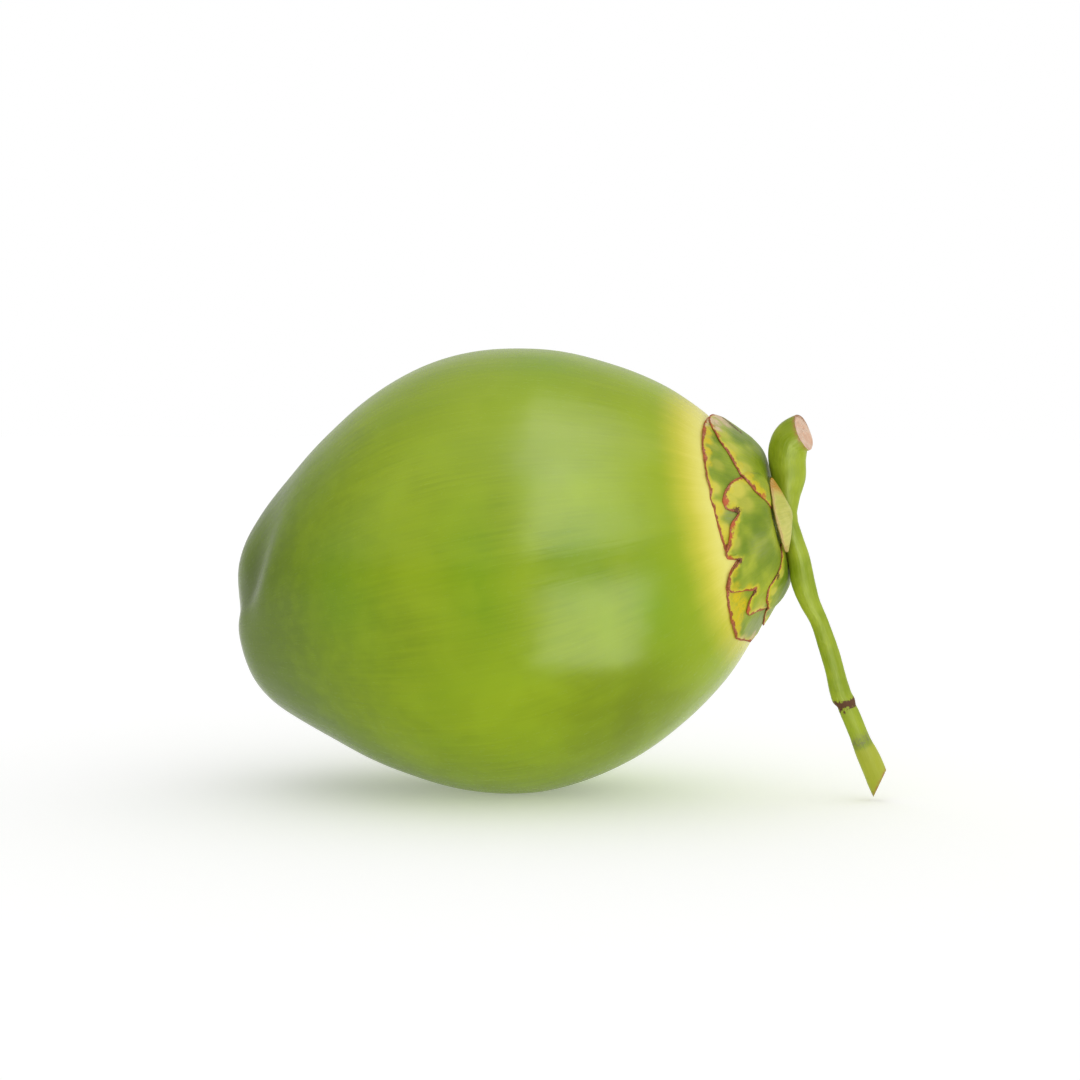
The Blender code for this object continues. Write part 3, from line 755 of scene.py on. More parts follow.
def husk_skin():
    """Waxy green skin: soft clouds, lengthwise fibres and a yellow ring at the scales."""
    tree, here = start_material("husk_skin")
    grain = grain_places(tree)
    clouds = use_group(MOTTLING, here, Size=0.055, Contrast=0.2)
    patches = use_group(MOTTLING, here, Size=0.018, Contrast=0.25)
    broad = use_group(FIBRES, grain, Round=9.0, Lengthwise=14.0, Contrast=0.25)
    fine = use_group(FIBRES, grain, Round=70.0, Lengthwise=30.0, Contrast=0.22)
    flecks = use_group(FLECKS, here, Spacing=0.011, Radius=0.09, Share=0.16)
    blunt = total(vertex_value(tree, "along"), spread(clouds["Grain"], -4.0 * MM, 4.0 * MM))
    uneven = spread(patches["Clouds"], 0.75, 1.2)
    scar = vertex_value(tree, "style_scar")
    # the ring's inner edge is drawn out along the fibres
    ring = total(vertex_value(tree, "ring"),
                 (math_node("SUBTRACT", broad["Streaks"], 0.5), 1.2 * MM),
                 (math_node("SUBTRACT", fine["Streaks"], 0.5), 0.8 * MM))

    colour = lay_over(
        blend(clouds["Clouds"], GREEN_DEEP, GREEN_MID),
        (broad["Streaks"], GREEN_YELLOW, 0.22),
        (patches["Clouds"], GREEN_OLIVE, 0.2),
        (times(fine["Streaks"], patches["Clouds"]), (100, 130, 8), 0.32),
        (stretch(blunt, 18.0 * MM, 92.0 * MM, 0.75, 0.0), GREEN_BLUNT_END),
        (stretch(blunt, 12.0 * MM, 46.0 * MM, 0.45, 0.0), BLUNT_GREEN_AND_GROOVE_SHADE),
        # the olive patch among these is painted shade on the lower side
        *((patch, green, uneven) for patch, green in PATCH_GREENS.items()),
        # painted shade: the grooves are darkened where the lobe beside them lies in shade
        (stretch(vertex_value(tree, "groove"), 0.35, 1.0, 0.0, 0.7), BLUNT_GREEN_AND_GROOVE_SHADE),
        (stretch(ring, 152.0 * MM, 184.0 * MM, 0.0, 0.45), GREEN_YELLOW),
        (stretch(ring, 177.5 * MM, 190.5 * MM, 0.0, 0.95), RING_YELLOW),
        (stretch(ring, 185.0 * MM, 197.0 * MM, 0.0, 0.9), RING_PALE),
        (scar, (104, 82, 44)),
        (flecks["Flecks"], (112, 96, 40), 0.45))
    shine = total(spread(fine["Threads"], 0.2, 0.26), spread(patches["Grain"], -0.02, 0.03),
                  (scar, 0.3))
    height = total((fine["Streaks"], 0.5), (fine["Threads"], 0.3), (patches["Grain"], 0.35))
    return finish_material("husk_skin", colour, shine, height, 0.05 * MM, 0.6, 0.22)


def scale_skin(name, deep, bright, dry_width, yellow_width):
    """Leathery green scale: veins, yellow towards the margin, brown and dry at its edge."""
    tree, here = start_material(name)
    clouds = use_group(MOTTLING, here, Size=0.012, Contrast=0.15)
    blotches = use_group(MOTTLING, here, Size=0.0075, Contrast=0.1)
    specks = use_group(MOTTLING, here, Size=0.0045, Contrast=0.14)
    veins = use_group(FIBRES, grain_places(tree), Round=26.0,
                      Lengthwise=60.0, Contrast=0.2)
    margin = use_group(MARGIN, here, From_margin=vertex_value(tree, "from_margin"),
                       Dry_width=dry_width, Yellow_width=yellow_width)
    flecks = use_group(FLECKS, here, Spacing=0.004, Radius=0.16, Share=0.14)
    dried = times(vertex_value(tree, "dried"), stretch(clouds["Grain"], 0.2, 0.8, 0.6, 1.0))
    brown = lay_over(blend(specks["Clouds"], DRY_RUST, DRY_ROSE),
                     (stretch(specks["Grain"], 0.3, 0.8), DRY_BROWN))

    colour = lay_over(
        blend(clouds["Clouds"], deep, bright),
        (blotches["Clouds"], (112, 140, 22), 0.35),
        (veins["Streaks"], (172, 186, 58), 0.2),
        (veins["Threads"], (92, 116, 26), 0.1),
        # painted shade: darker green on the shaded parts of the scales
        ("deep", (100, 128, 14), 0.75),
        ("pale", (214, 206, 80), 0.9),
        (margin["Yellow"], (222, 206, 48), 0.8),
        # grey tone of the scales, and a painted sheen on petal_2
        ("grey", (150, 160, 110), spread(veins["Threads"], 0.35, 0.85)),
        ("golden", (214, 192, 16), stretch(clouds["Grain"], 0.1, 0.6, 0.6, 1.0)),
        (dried, DRY_BEIGE),
        (margin["Dry"], brown),
        (ragged_place(tree, "rust", specks["Grain"]), (192, 92, 46)),
        # dark brown spots, and painted shade on sepal_2 beside the branch
        (ragged_place(tree, "dark", specks["Grain"]), (98, 62, 30)),
        (flecks["Flecks"], (110, 84, 38), 0.55))
    shine = total(spread(veins["Threads"], 0.38, 0.5), (margin["Dry"], 0.3), (dried, 0.2))
    height = total((veins["Streaks"], 0.5), (clouds["Grain"], 0.35), (margin["Dry"], -0.4))
    return finish_material(name, colour, shine, height, 0.16 * MM, 0.8, 0.22)


def bracteole_skin():
    """Thin pale scale with a pinkish dry margin and an orange-brown upper end."""
    tree, here = start_material("bracteole_skin")
    clouds = use_group(MOTTLING, here, Size=0.006, Contrast=0.18)
    veins = use_group(FIBRES, grain_places(tree), Round=30.0,
                      Lengthwise=90.0, Contrast=0.2)
    margin = use_group(MARGIN, here, From_margin=vertex_value(tree, "from_margin"),
                       Dry_width=0.7 * MM, Yellow_width=2.2 * MM)
    colour = lay_over(
        blend(clouds["Clouds"], (196, 194, 84), (216, 212, 116)),
        (veins["Streaks"], (168, 178, 66), 0.35),
        (margin["Yellow"], (226, 206, 120), 0.4),
        (margin["Dry"], (196, 150, 110), 0.55),
        ("upper_end", (190, 132, 24), stretch(clouds["Grain"], 0.1, 0.9, 0.7, 1.0)))
    height = total(veins["Streaks"], clouds["Grain"])
    return finish_material("bracteole_skin", colour, spread(clouds["Grain"], 0.42, 0.6),
                           height, 0.12 * MM, 0.7, 0.3)


def branch_bark():
    """Smooth green stalk: lengthwise fibres, a brown scar ring, a yellower end."""
    tree, here = start_material("branch_bark")
    clouds = use_group(MOTTLING, here, Size=0.010, Contrast=0.17)
    veins = use_group(FIBRES, grain_places(tree), Round=7.0,
                      Lengthwise=120.0, Contrast=0.2)
    flecks = use_group(FLECKS, here, Spacing=0.0035, Radius=0.16, Share=0.2)
    scar = stretch(total(vertex_value(tree, "scar"), spread(clouds["Grain"], -0.25, 0.25)),
                   0.35, 0.6)
    colour = lay_over(
        blend(clouds["Clouds"], (138, 160, 16), (168, 186, 42)),
        (veins["Streaks"], (178, 192, 78), 0.35),
        (veins["Threads"], (108, 130, 30), 0.2),
        ("yellowed", (184, 188, 62), 0.75),
        ("grey", (128, 132, 84), stretch(clouds["Grain"], 0.3, 0.7, 0.3, 0.8)),
        # painted shade in the crease where the branch meets the scales
        ("crevice", (84, 86, 22), 0.75),
        (scar, (98, 66, 44)),
        ("cut_edge", (176, 128, 78), stretch(clouds["Grain"], 0.2, 0.8, 0.4, 1.0)),
        (ragged_place(tree, "tip_stain", clouds["Grain"]), (112, 84, 48)),
        (flecks["Flecks"], (112, 100, 52), 0.5))
    shine = total(spread(veins["Threads"], 0.34, 0.46), (scar, 0.3))
    height = total((veins["Streaks"], 0.6), (clouds["Grain"], 0.3))
    return finish_material("branch_bark", colour, shine, height, 0.10 * MM, 0.8, 0.2)


def cut_wood(name, wood, shade, rim):
    """A cut end: pale wet fibres in bundles, darker towards the bark."""
    tree, here = start_material(name)
    clouds = use_group(MOTTLING, here, Size=0.003, Contrast=0.16)
    bundles = use_group(FLECKS, here, Spacing=0.0011, Radius=0.42, Share=0.75)
    edge = total(vertex_value(tree, "cut_share"), spread(clouds["Grain"], -0.05, 0.05))
    colour = lay_over(
        blend(clouds["Clouds"], wood, shade),
        (bundles["Flecks"], rim, 0.5),
        (stretch(edge, 0.82, 0.95), rim),
        (ragged_place(tree, "tip_stain", clouds["Grain"]), (104, 76, 46)))
    height = math_node("SUBTRACT", clouds["Grain"], bundles["Flecks"])
    return finish_material(name, colour, spread(clouds["Grain"], 0.5, 0.75), height,
                           0.25 * MM, 0.9, 0.3)


# ---- the husk

def make_husk():
    """A sphere's rings and segments drawn out to the fruit, with its waves and fibres."""
    mesh = rework(bpy.data.meshes.new("husk_body"), lambda body: bmesh.ops.create_uvsphere(
        body, u_segments=HUSK_SEGMENTS, v_segments=HUSK_RINGS, radius=1.0))
    mesh.flip_normals()
    ball = read_points(mesh)
    polar = np.arccos(np.clip(-ball[:, 2], -1.0, 1.0))
    turn = np.arctan2(ball[:, 1], ball[:, 0])
    distance = polar / math.pi * OUTLINE_LENGTH[-1]
    along, out = at_distance(OUTLINE, distance)
    slope_along, slope_out = at_distance(OUTLINE_SLOPE, distance)

    offset = lobe_offset(distance, turn)
    plain = around_axis(along, out, turn)
    fade = ease(distance / WAVES_FROM) * ease((OUTLINE_LENGTH[-1] - distance) / WAVES_END)
    for number, (size, height) in enumerate(SKIN_WAVES):
        offset = offset + fade * height * rough(plain, size, 5 + number)
    ribs, rib_height = SKIN_RIBS
    offset = offset + fade * rib_height * rough_at(
        9, np.cos(turn) * ribs, np.sin(turn) * ribs, distance * RIBS_LENGTHWISE)
    offset = offset + STYLE_RISE * hump(distance, 0.6 * STYLE_SCAR) - STYLE_DIP * hump(
        distance - 1.5 * STYLE_SCAR, 0.6 * STYLE_SCAR)

    points = around_axis(along - offset * slope_out,
                         np.maximum(out + offset * slope_along, 0.0), turn)
    height = points[:, 2]
    points[:, 2] = 0.5 * (height + np.sqrt(height**2 + REST_SOFTNESS**2))
    mesh.vertices.foreach_set("co", points.ravel())
    mesh.shade_smooth()
    mesh.update()
    # painted shade in the grooves, strongest in the first groove
    shade = groove_depth(distance, turn, GROOVES[:1])
    shade = shade + FAINT_GROOVE_SHADE * groove_depth(distance, turn, GROOVES[1:])
    write_values(mesh, fibres=fibre_places(turn, distance), along=along,
                 ring=along + RING_LEAN * np.cos(turn - RING_WIDEST),
                 groove=shade / GROOVES[0][1],
                 style_scar=ease(1.6 * hump(distance, STYLE_SCAR) - 0.3))
    for patch, table in SKIN_PATCHES.items():
        mask = 0.0 * along
        for at, middle, reach, wide, strength in table:
            near = hump(along - at * MM, reach * MM)
            mask = np.maximum(mask, strength * near * hump(
                turn_between(np.degrees(turn), middle), wide))
        write_values(mesh, **{patch: mask})
    return add_piece("husk_body", mesh, "husk", "husk", husk_skin())


# ---- petals and sepals

def margin_reach(margin, turn_deg, seed):
    """How far out a scale reaches at each turn, with the small teeth of its margin."""
    turns, outs = zip(*margin)
    reach = np.interp(turn_deg, turns, outs)
    arc = np.radians(turn_deg) * TOOTH_ARC_MM
    for number, (length, height) in enumerate(TOOTH_MM):
        reach = reach + height * rough_at(seed + number, arc / length)
    return reach * MM


def flat_places(out, turn_deg):
    """The stem end spread flat, so that distances over it are nearly true."""
    distance = crown_distance(out)
    turn = np.radians(turn_deg)
    return np.stack([distance * np.cos(turn), distance * np.sin(turn)], axis=-1)


def lapped(margin, out, turn_deg):
    """1 over a scale with this margin, easing to 0 a little outside it."""
    turns, outs = np.array(margin, float).T
    middle = 0.5 * (turns[0] + turns[-1])
    turn_deg = middle + turn_between(turn_deg, middle)
    past_rim = crown_distance(np.interp(turn_deg, turns, outs * MM)) - crown_distance(out)
    past_side = np.radians(np.minimum(turn_deg - turns[0], turns[-1] - turn_deg)) * out
    inside = np.minimum(past_rim, past_side)
    return ease((inside + LAP_START) / (LAP_START + LAP_FULL))


def places_mask(places, out, turn_deg):
    """How much of each listed place a point has: turn, out, reach, strength."""
    here = flat_places(out, turn_deg)
    mask = np.zeros(len(out))
    for turn, place_out, reach, strength in places:
        away = np.linalg.norm(here - flat_places(place_out * MM, turn), axis=1)
        mask = np.maximum(mask, strength * ease(1.5 * hump(away, reach * MM)))
    return mask


def make_scale(name, margin, below, base, thickness, seed, slot, material):
    """One petal or sepal: a sheet laid over what is below it, thin at its margin."""
    count = int((margin[-1][0] - margin[0][0]) / SCALE_COLUMN)
    turns = np.linspace(margin[0][0], margin[-1][0], count)
    reach = margin_reach(margin, turns, seed)
    share = np.linspace(0.0, 1.0, SCALE_ROWS)[:, None]
    grid = SCALE_FOOT + (reach[None, :] - SCALE_FOOT) * share
    out, turn_deg = grid.ravel(), np.tile(turns, SCALE_ROWS)
    turn = np.radians(turn_deg)

    edges = [flat_places(reach, turns)]
    edges += [flat_places(grid[:, k], np.full(SCALE_ROWS, turns[k])) for k in (0, -1)]
    _, from_margin = nearest_on(np.concatenate(edges), flat_places(out, turn_deg))
    inward = ease(from_margin / LIP_WIDTH)

    lift = np.full(len(out), SCALE_HUG) + base(out, turn_deg)
    for other in below:
        lift = lift + (SEPAL_THICK + SCALE_HUG) * lapped(other, out, turn_deg)
    plain = crown(out, turn, lift)
    curl = LIP_CURL * np.maximum(0.0, rough(plain, 9.0 * MM, seed + 4) + 0.15)
    lift = lift + curl * (1.0 - ease(from_margin / CURL_WIDTH))
    fold_turn, fold_out, fold_rise = FOLDS.get(name, (0.0, 0.0, 0.0))
    lift = lift + fold_rise * hump(turn_between(turn_deg, fold_turn), FOLD_TURNS) * hump(
        out - fold_out, FOLD_REACH)
    lift = lift + VEIN_RISE * rough_at(seed + 6, turn * 16.0, out * 20.0) * inward

    mesh = new_mesh(name, crown(out, turn, lift), sheet_quads(SCALE_ROWS, count))
    write_values(mesh, fibres=fibre_places(turn, crown_distance(out)), from_margin=from_margin)
    for layer, table in SCALE_LAYERS.items():
        write_values(mesh, **{layer: places_mask(table.get(name, []), out, turn_deg)})
    piece = add_piece(name + "_leaf", mesh, name, slot, material)
    group = piece.vertex_groups.new(name="thickness")
    for number, weight in enumerate(LIP_SHARE + (1.0 - LIP_SHARE) * inward):
        group.add([number], float(weight), "REPLACE")
    thicken(piece, thickness, "thickness")
    return piece


def make_perianth():
    """Three petals on the husk, and three sepals over the petals and over one another."""
    petals = scale_skin("petal_skin", *PETAL_SKIN)
    sepals = scale_skin("sepal_skin", *SEPAL_SKIN)
    for seed, (name, margin) in enumerate(PETAL_MARGINS.items()):
        make_scale(name, margin, [], lambda out, turn_deg: 0.0 * out, PETAL_THICK,
                   20 + 9 * seed, "petal", petals)

    def on_petals(out, turn_deg):
        return sum((PETAL_THICK + SCALE_HUG) * lapped(margin, out, turn_deg)
                   for margin in PETAL_MARGINS.values())

    below = []
    for seed, (name, margin) in enumerate(SEPAL_MARGINS.items()):
        make_scale(name, margin, below, on_petals, SEPAL_THICK, 70 + 9 * seed, "sepal", sepals)
        below.append(margin)


# ---- bracteoles

def make_bracteole(name, middle, half, material):
    """A crescent scale that grows from the foot of the branch and lies on the sepals."""
    foot, brow, ends = (np.array(p) * MM for p in (
        BRACTEOLE_FOOT_MM, BRACTEOLE_BROW_MM, BRACTEOLE_ENDS_MM))
    side, down = np.meshgrid(np.linspace(-1.0, 1.0, BRACTEOLE_COLUMNS),
                             np.linspace(0.0, 1.0, BRACTEOLE_ROWS))
    side, up = side.ravel(), 1.0 - down.ravel()
    wide = BRACTEOLE_TIP_SHARE + (1.0 - BRACTEOLE_TIP_SHARE) * (1.0 - side * side) ** 0.8
    low = ends + (foot - ends) * wide[:, None]
    place = low + (brow - foot) * wide[:, None] * up[:, None]
    turn = np.radians(middle + half * side)
    waver = sum(height * rough_at(seed, side * across, up * upward)
                for seed, across, upward, height in BRACTEOLE_WAVES)
    bulge = BRACTEOLE_BULGE * wide * np.sin(math.pi * up) + waver * (1.0 - up)
    points = around_axis(place[:, 0] + bulge, place[:, 1] + bulge, turn)
    mesh = new_mesh(name, points, sheet_quads(BRACTEOLE_ROWS, BRACTEOLE_COLUMNS))
    width = float(np.linalg.norm(brow - foot))
    write_values(mesh, fibres=fibre_places(turn, up * width), from_margin=up * width * wide,
                 upper_end=ease((side - BRACTEOLE_END) / BRACTEOLE_END_WIDTH))
    piece = add_piece(name + "_leaf", mesh, name, "bracteole", material)
    thicken(piece, BRACTEOLE_THICK)
    soft = piece.modifiers.new("soft edge", "BEVEL")
    soft.width = BRACTEOLE_EDGE
    soft.segments = 2
    soft.limit_method = "ANGLE"
    return piece


# ---- the branch

def ring_ways(centres):
    """Two directions across the branch at each ring, turned as little as they can be."""
    forward = np.gradient(centres, axis=0)
    forward /= np.linalg.norm(forward, axis=1)[:, None]
    across = np.zeros_like(forward)
    start = np.array([0.0, -1.0, 0.0])
    for number, way in enumerate(forward):
        start = start - way * np.dot(start, way)
        start /= np.linalg.norm(start)
        across[number] = start
    return across, np.cross(forward, across)


# the branch's line: along, above, sideways, radius; then its rings' centres in the room
BRANCH, BRANCH_DISTANCE = smooth_curve(np.array(BRANCH_MM) * MM, BRANCH_RINGS, spatial=3)
CENTRES = in_room(BRANCH[:, 0], BRANCH[:, 2], BRANCH[:, 1])
RADII = BRANCH[:, 3]
ACROSS, BESIDE = ring_ways(CENTRES)


def down_branch(above_mm):
    """Distance along the branch to where its line is this far above the fruit's axis."""
    return np.interp(-above_mm * MM, -BRANCH[:, 1], BRANCH_DISTANCE)


def past_scar(distance, angle):
    """How far below the slanted scar ring a place on the branch is."""
    return distance - down_branch(SCAR_ABOVE_MM) + SCAR_SLANT * np.sin(angle)


def tube_points():
    """The branch's surface, ribbed, a little lumpy, with the scar ring round it."""
    angle = np.linspace(0.0, 2.0 * math.pi, BRANCH_SIDES, endpoint=False)[None, :]
    distance = BRANCH_DISTANCE[:, None]
    ribs, rib_height = BRANCH_RIBS
    away = past_scar(distance, angle)
    step = SCAR_RISE * hump(away + 0.5 * SCAR_WIDTH, 0.8 * SCAR_WIDTH)
    step = step - SCAR_DIP * hump(away - 0.6 * SCAR_WIDTH, 0.7 * SCAR_WIDTH)
    radius = (RADII[:, None] + step) * (1.0 + rib_height * np.cos(
        ribs * angle + distance * RIB_TWIST))
    radius = radius * (1.0 + OVAL_SHARE * np.cos(2.0 * angle + 1.1))
    ways = (ACROSS[:, None, :] * np.cos(angle)[:, :, None]
            + BESIDE[:, None, :] * np.sin(angle)[:, :, None])
    points = (CENTRES[:, None, :] + ways * radius[:, :, None]).reshape(-1, 3)
    lumps = np.zeros(len(points))
    for number, (size, height) in enumerate(BRANCH_BUMPS):
        lumps += height * rough(points, size, 60 + number)
    return points + ways.reshape(-1, 3) * lumps[:, None]


def edges_of(geometry):
    return [item for item in geometry if isinstance(item, bmesh.types.BMEdge)]


def middle_of(edges):
    corners = sorted({v for e in edges for v in e.verts}, key=lambda v: v.index)
    return sum((v.co for v in corners), Vector()) / len(corners)


def cap_cut(body, edges, away, hollow, finish):
    """Closes a cut with rings of faces, its fibres shrunk back a little from the bark."""
    bark = set(body.faces)
    centre = middle_of(edges)
    last_share = 1.0
    for share in CUT_RINGS:
        made = bmesh.ops.extrude_edge_only(body, edges=edges)["geom"]
        for vertex in (g for g in made if isinstance(g, bmesh.types.BMVert)):
            flat = vertex.co - centre
            flat -= away * flat.dot(away)
            grain = noise.noise(vertex.co / (1.2 * MM))
            depth = hollow * float(ease((1.0 - share) / 0.25)) * (0.75 + 0.5 * grain)
            vertex.co = centre + flat * (share / last_share) - away * depth
        edges = [e for e in edges_of(made) if e.is_boundary]
        last_share = share
    middle = body.verts.new(middle_of(edges))
    for edge in edges:
        body.faces.new((*edge.verts, middle))
    for face in body.faces:
        if face not in bark:
            face.material_index = finish


def cut_branch(body, point_mm, faces, hollow, finish):
    """Cuts the branch through a point and caps it; gives the point and the way it faces."""
    along, above, sideways = (np.array(value * MM) for value in point_mm)
    point = Vector(in_room(along, sideways, above))
    forward, up = leaned(faces[0], faces[1])
    away = Vector((forward, faces[2], up)).normalized()
    everything = body.verts[:] + body.edges[:] + body.faces[:]
    cut = bmesh.ops.bisect_plane(body, geom=everything, plane_co=point, plane_no=away,
                                 clear_outer=True)["geom_cut"]
    body.verts.index_update()
    cap_cut(body, [e for e in edges_of(cut) if e.is_boundary], away, hollow, finish)
    return point, away


def cushion_mesh():
    """The round cushion under the branch, turned from its profile."""
    profile, _ = smooth_curve(np.array(FOOT_PROFILE_MM) * MM, FOOT_RINGS)
    turns = np.linspace(0.0, 2.0 * math.pi, FOOT_SIDES, endpoint=False)
    rings = []
    for along, out in profile:
        lumps = rough_at(33, np.cos(turns) * 2.2, np.sin(turns) * 2.2, along * 200.0)
        rings.append(around_axis(along + 0.0 * turns, out * (1.0 + 0.03 * lumps), turns))
    points = np.concatenate(rings)
    faces = sheet_quads(len(profile), FOOT_SIDES, closed=True)
    faces.append(tuple(range(FOOT_SIDES))[::-1])
    faces.append(tuple(range(len(points) - FOOT_SIDES, len(points))))
    return rework(new_mesh("cushion", points, faces), lambda body: (
        bmesh.ops.recalc_face_normals(body, faces=body.faces)))


def soften_join(mesh):
    """Lets the stalk flow into its cushion: the crease between them is smoothed."""
    points = read_points(mesh)
    along, out = fruit_places(points)
    nearest, gap = nearest_on(CENTRES, points)
    on_cushion = (along < JOIN_TO) & (along > JOIN_FROM) & (out < JOIN_OUT)
    chosen = np.flatnonzero(on_cushion & (np.abs(gap - RADII[nearest]) < JOIN_GAP))

    def smooth(body):
        body.verts.ensure_lookup_table()
        for _ in range(JOIN_PASSES):
            bmesh.ops.smooth_vert(body, verts=[body.verts[k] for k in chosen], factor=0.5,
                                  use_axis_x=True, use_axis_y=True, use_axis_z=True)

    rework(mesh, smooth)


def write_branch_values(mesh, cuts):
    """What the bark and the cut ends read: scar, spots, cut edges and the stained tip."""
    points = read_points(mesh)
    nearest, _ = nearest_on(CENTRES, points)
    arm = points - CENTRES[nearest]
    angle = np.arctan2((arm * BESIDE[nearest]).sum(1), (arm * ACROSS[nearest]).sum(1))
    where = BRANCH_DISTANCE[nearest]
    below = past_scar(where, angle)
    smear = hump(below - SMEAR_BELOW, SMEAR_REACH) * ease(np.cos(angle - 1.1))
    from_grey = where - down_branch(GREY_SPOT_ABOVE_MM)
    from_yellow = where - down_branch(YELLOW_FROM_ABOVE_MM)

    cut_edge = np.zeros(len(points))
    cut_share = np.zeros(len(points))
    for (point, away), reach in zip(cuts, CUT_EDGES):
        to_point = points - np.array(point)
        depth = -(to_point @ np.array(away))
        side = np.linalg.norm(to_point + depth[:, None] * np.array(away), axis=1)
        close = (depth < CUT_DEPTH) & (side < CUT_SIDE)
        cut_edge = np.maximum(cut_edge, close * hump(depth, reach))
        wide = side[close & (depth < 0.05 * MM)].max()
        cut_share = np.maximum(cut_share, close * np.clip(side / wide, 0.0, 1.0))

    along, out = fruit_places(points)
    room = along - at_stem_end(out, OUTLINE[:, 0])
    corner = points[points[:, 2].argmin()]
    write_values(
        mesh, fibres=fibre_places(angle, where), cut_edge=cut_edge, cut_share=cut_share,
        scar=hump(below, 0.85 * SCAR_WIDTH) + 0.5 * smear,
        grey=hump(from_grey, GREY_REACH) * ease(0.6 + np.cos(angle + 0.5)),
        yellowed=ease(from_yellow / YELLOW_WIDTH + 0.5),
        # painted shade: the bark is darker close to the scales
        crevice=1.0 - ease((room - CREVICE_SHADE_START) / CREVICE_SHADE_REACH),
        tip_stain=hump(np.linalg.norm(points - corner, axis=1), TIP_STAIN))


def make_branch():
    """Stub, waist and thin end in one piece, grown together with the cushion under it."""
    body = bmesh.new()
    corners = [body.verts.new(p) for p in tube_points()]
    for face in sheet_quads(BRANCH_RINGS, BRANCH_SIDES, closed=True):
        body.faces.new([corners[k] for k in face])
    cuts = [cut_branch(body, STUB_CUT_MM, STUB_CUT_FACES, CUT_HOLLOW, 1),
            cut_branch(body, TIP_CUT_MM, TIP_CUT_FACES, 0.4 * CUT_HOLLOW, 2)]
    bmesh.ops.recalc_face_normals(body, faces=body.faces)
    stalk = add_object("stalk", bpy.data.meshes.new("stalk"))
    body.to_mesh(stalk.data)
    body.free()
    cushion = add_object("cushion", cushion_mesh())
    bark = branch_bark()
    cushion.data.materials.append(bark)
    for material in (bark, cut_wood("stub_cut_wood", *STUB_WOOD),
                     cut_wood("tip_cut_wood", *TIP_WOOD)):
        stalk.data.materials.append(material)

    join = stalk.modifiers.new("cushion", "BOOLEAN")
    join.operation = "UNION"
    join.object = cushion
    bpy.context.view_layer.update()
    joined = stalk.evaluated_get(bpy.context.evaluated_depsgraph_get())
    mesh = bpy.data.meshes.new_from_object(joined)
    for item in (stalk, cushion):
        bpy.data.objects.remove(item, do_unlink=True)
    mesh.name = "branch"
    soften_join(mesh)
    write_branch_values(mesh, cuts)
    mesh.shade_smooth()
    return add_piece("branch", mesh, "rachilla", "rachilla")


# ---- studio

def add_camera():
    aim = Vector(in_room(np.array(CAMERA_AIM_ALONG), np.array(0.0), np.array(0.0)))
    back = Vector((math.sin(CAMERA_TURN) * math.cos(CAMERA_RISE),
                   -math.cos(CAMERA_TURN) * math.cos(CAMERA_RISE), math.sin(CAMERA_RISE)))
    data = bpy.data.cameras.new("camera")
    data.lens = CAMERA_LENS
    data.sensor_width = CAMERA_SENSOR
    data.shift_x, data.shift_y = CAMERA_SHIFT
    data.clip_start = 0.02
    camera = add_object("camera", data)
    camera.location = aim + back * CAMERA_DISTANCE
    camera.rotation_euler = back.to_track_quat("Z", "Y").to_euler()
    bpy.context.scene.camera = camera


def add_softbox(name, place, size, radiance, tip, turn=0.0):
    """A soft rectangular light for the skin to mirror; it shines down until it is tipped."""
    data = bpy.data.lights.new(name, "AREA")
    data.shape = "RECTANGLE"
    data.size, data.size_y = size
    data.energy = radiance * math.pi * size[0] * size[1]
    light = add_object(name, data)
    light.location = place
    light.rotation_euler = (math.radians(tip), 0.0, turn)
    light.visible_camera = False
    light.visible_diffuse = False


def add_softboxes():
    """What the waxy skin mirrors: tall panels, panels overhead and a fan of floor cards."""
    middle = 0.5 * (PANEL_FOOT + PANEL_HEAD)
    for number, (turn, width, radiance) in enumerate(PANELS):
        turn = math.radians(turn)
        place = (PANEL_DISTANCE * math.sin(turn), -PANEL_DISTANCE * math.cos(turn), middle)
        size = (2.0 * PANEL_DISTANCE * math.tan(math.radians(width) / 2.0),
                PANEL_HEAD - PANEL_FOOT)
        add_softbox("panel_%d" % number, place, size, radiance, 90.0, turn)
    for number, ((x, y), size, radiance) in enumerate(CEILING_PANELS):
        add_softbox("ceiling_%d" % number, (x, y, CEILING), size, radiance, 0.0)
    outward = Vector((math.sin(CARD_TURN), -math.cos(CARD_TURN), 0.0))
    for number, (near, far) in enumerate(zip(CARD_STEPS, CARD_STEPS[1:])):
        middle = 0.5 * (near + far)
        place = Vector((*CARD_START, CARD_ABOVE)) + outward * middle
        size = (CARD_WIDTH + CARD_SPREAD * middle, far - near)
        add_softbox("card_%d" % number, place, size, CARD_LEVEL, 180.0, CARD_TURN)


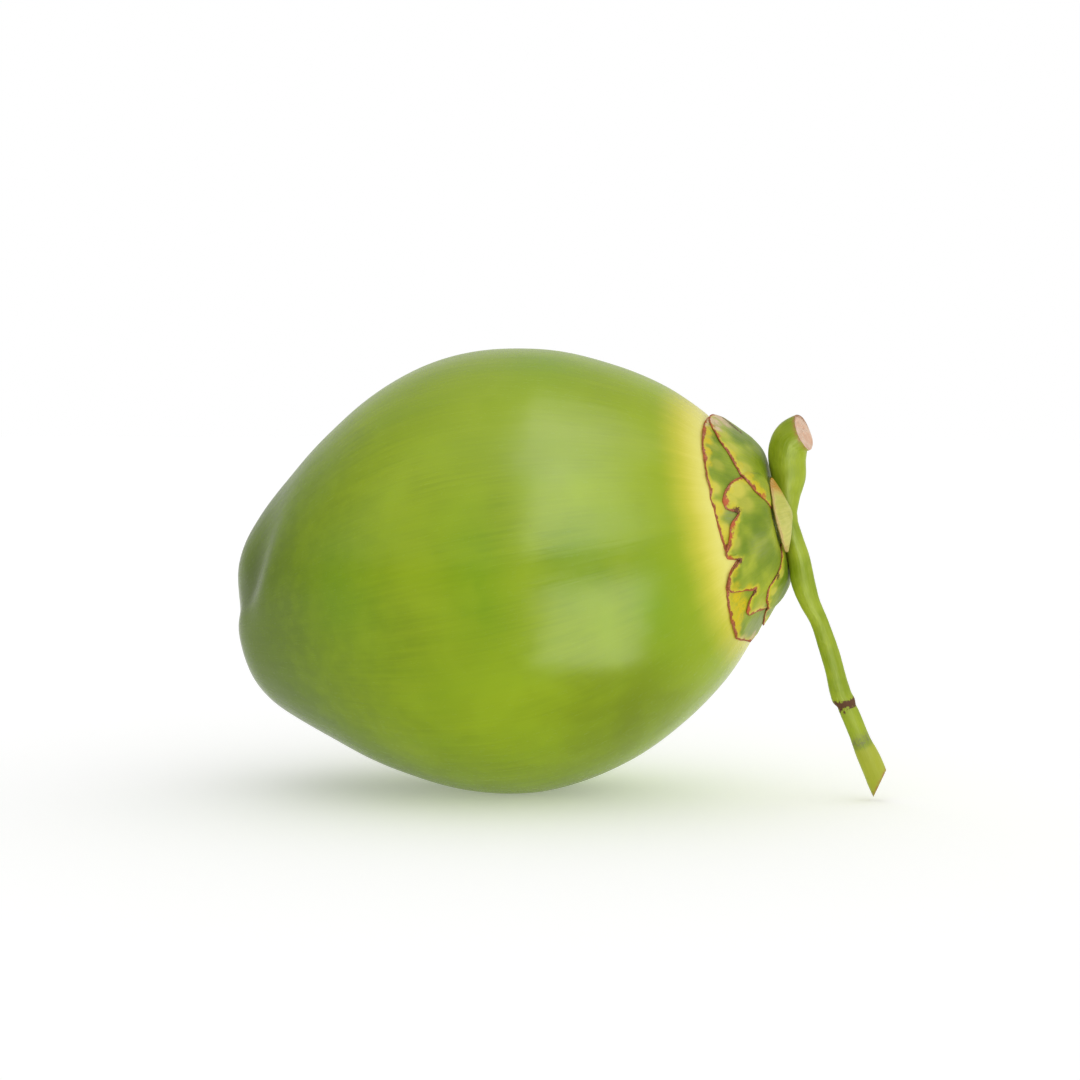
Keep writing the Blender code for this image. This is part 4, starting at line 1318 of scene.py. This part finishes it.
def add_floor():
    """A wide white floor."""
    mesh = rework(bpy.data.meshes.new("floor"), lambda sheet: bmesh.ops.create_grid(
        sheet, x_segments=1, y_segments=1, size=FLOOR_HALF))
    floor = add_object("floor", mesh)
    material = bpy.data.materials.new("floor_white")
    material.use_nodes = True
    shader = material.node_tree.nodes["Principled BSDF"].inputs
    shader["Base Color"].default_value = FLOOR_COLOUR
    shader["Roughness"].default_value = 0.9
    shader["Specular IOR Level"].default_value = 0.0
    shader["Emission Color"].default_value = (1.0, 1.0, 1.0, 1.0)
    shader["Emission Strength"].default_value = FLOOR_GLOW
    mesh.materials.append(material)


def add_room_light():
    """An even white room, dimmer to the front left, where the skin mirrors a soft white."""
    world = bpy.data.worlds.new("white_room")
    bpy.context.scene.world = world
    world.use_nodes = True
    tree = world.node_tree
    tree.nodes.clear()
    way = add_node(tree, "TexCoord")["Generated"]
    path = add_node(tree, "LightPath")
    toward = add_node(tree, "VectorMath", way, DIM_SIDE, operation="DOT_PRODUCT")["Value"]
    level = stretch(toward, 0.1, 0.9, ROOM_LEVEL, DIM_LEVEL)
    x, y, z = add_node(tree, "SeparateXYZ", way)
    mirrored = times(stretch(x, -0.02, 0.2, 1.0, 0.0), stretch(z, 0.02, 0.2))
    mirrored = times(mirrored, stretch(y, -0.4, 0.15, 1.0, 0.0))
    level = total(level, (times(mirrored, MIRRORED_LEVEL), path["Is Glossy Ray"]))
    behind = stretch(y, 0.1, 0.6, 0.0, times(path["Is Glossy Ray"], BEHIND_DIMMER))
    level = times(level, math_node("SUBTRACT", 1.0, behind))
    strength = spread(path["Is Camera Ray"], level, 1.0)
    back = add_node(tree, "Background", (255, 255, 255), strength)
    out = tree.nodes.new("ShaderNodeOutputWorld")
    plug(out.inputs["Surface"], back[0])


def add_studio():
    add_camera()
    add_floor()
    add_room_light()
    add_softboxes()
    settings = bpy.context.scene.view_settings
    settings.view_transform = "Standard"
    settings.look = "None"
    settings.exposure = 0.0
    settings.gamma = 1.0


# ---- all of it

add_studio()
make_husk()
make_perianth()
bracteole_material = bracteole_skin()
for bracteole, (middle_turn, half_turn) in BRACTEOLES.items():
    make_bracteole(bracteole, middle_turn, half_turn, bracteole_material)
make_branch()

bpy.context.view_layer.update()
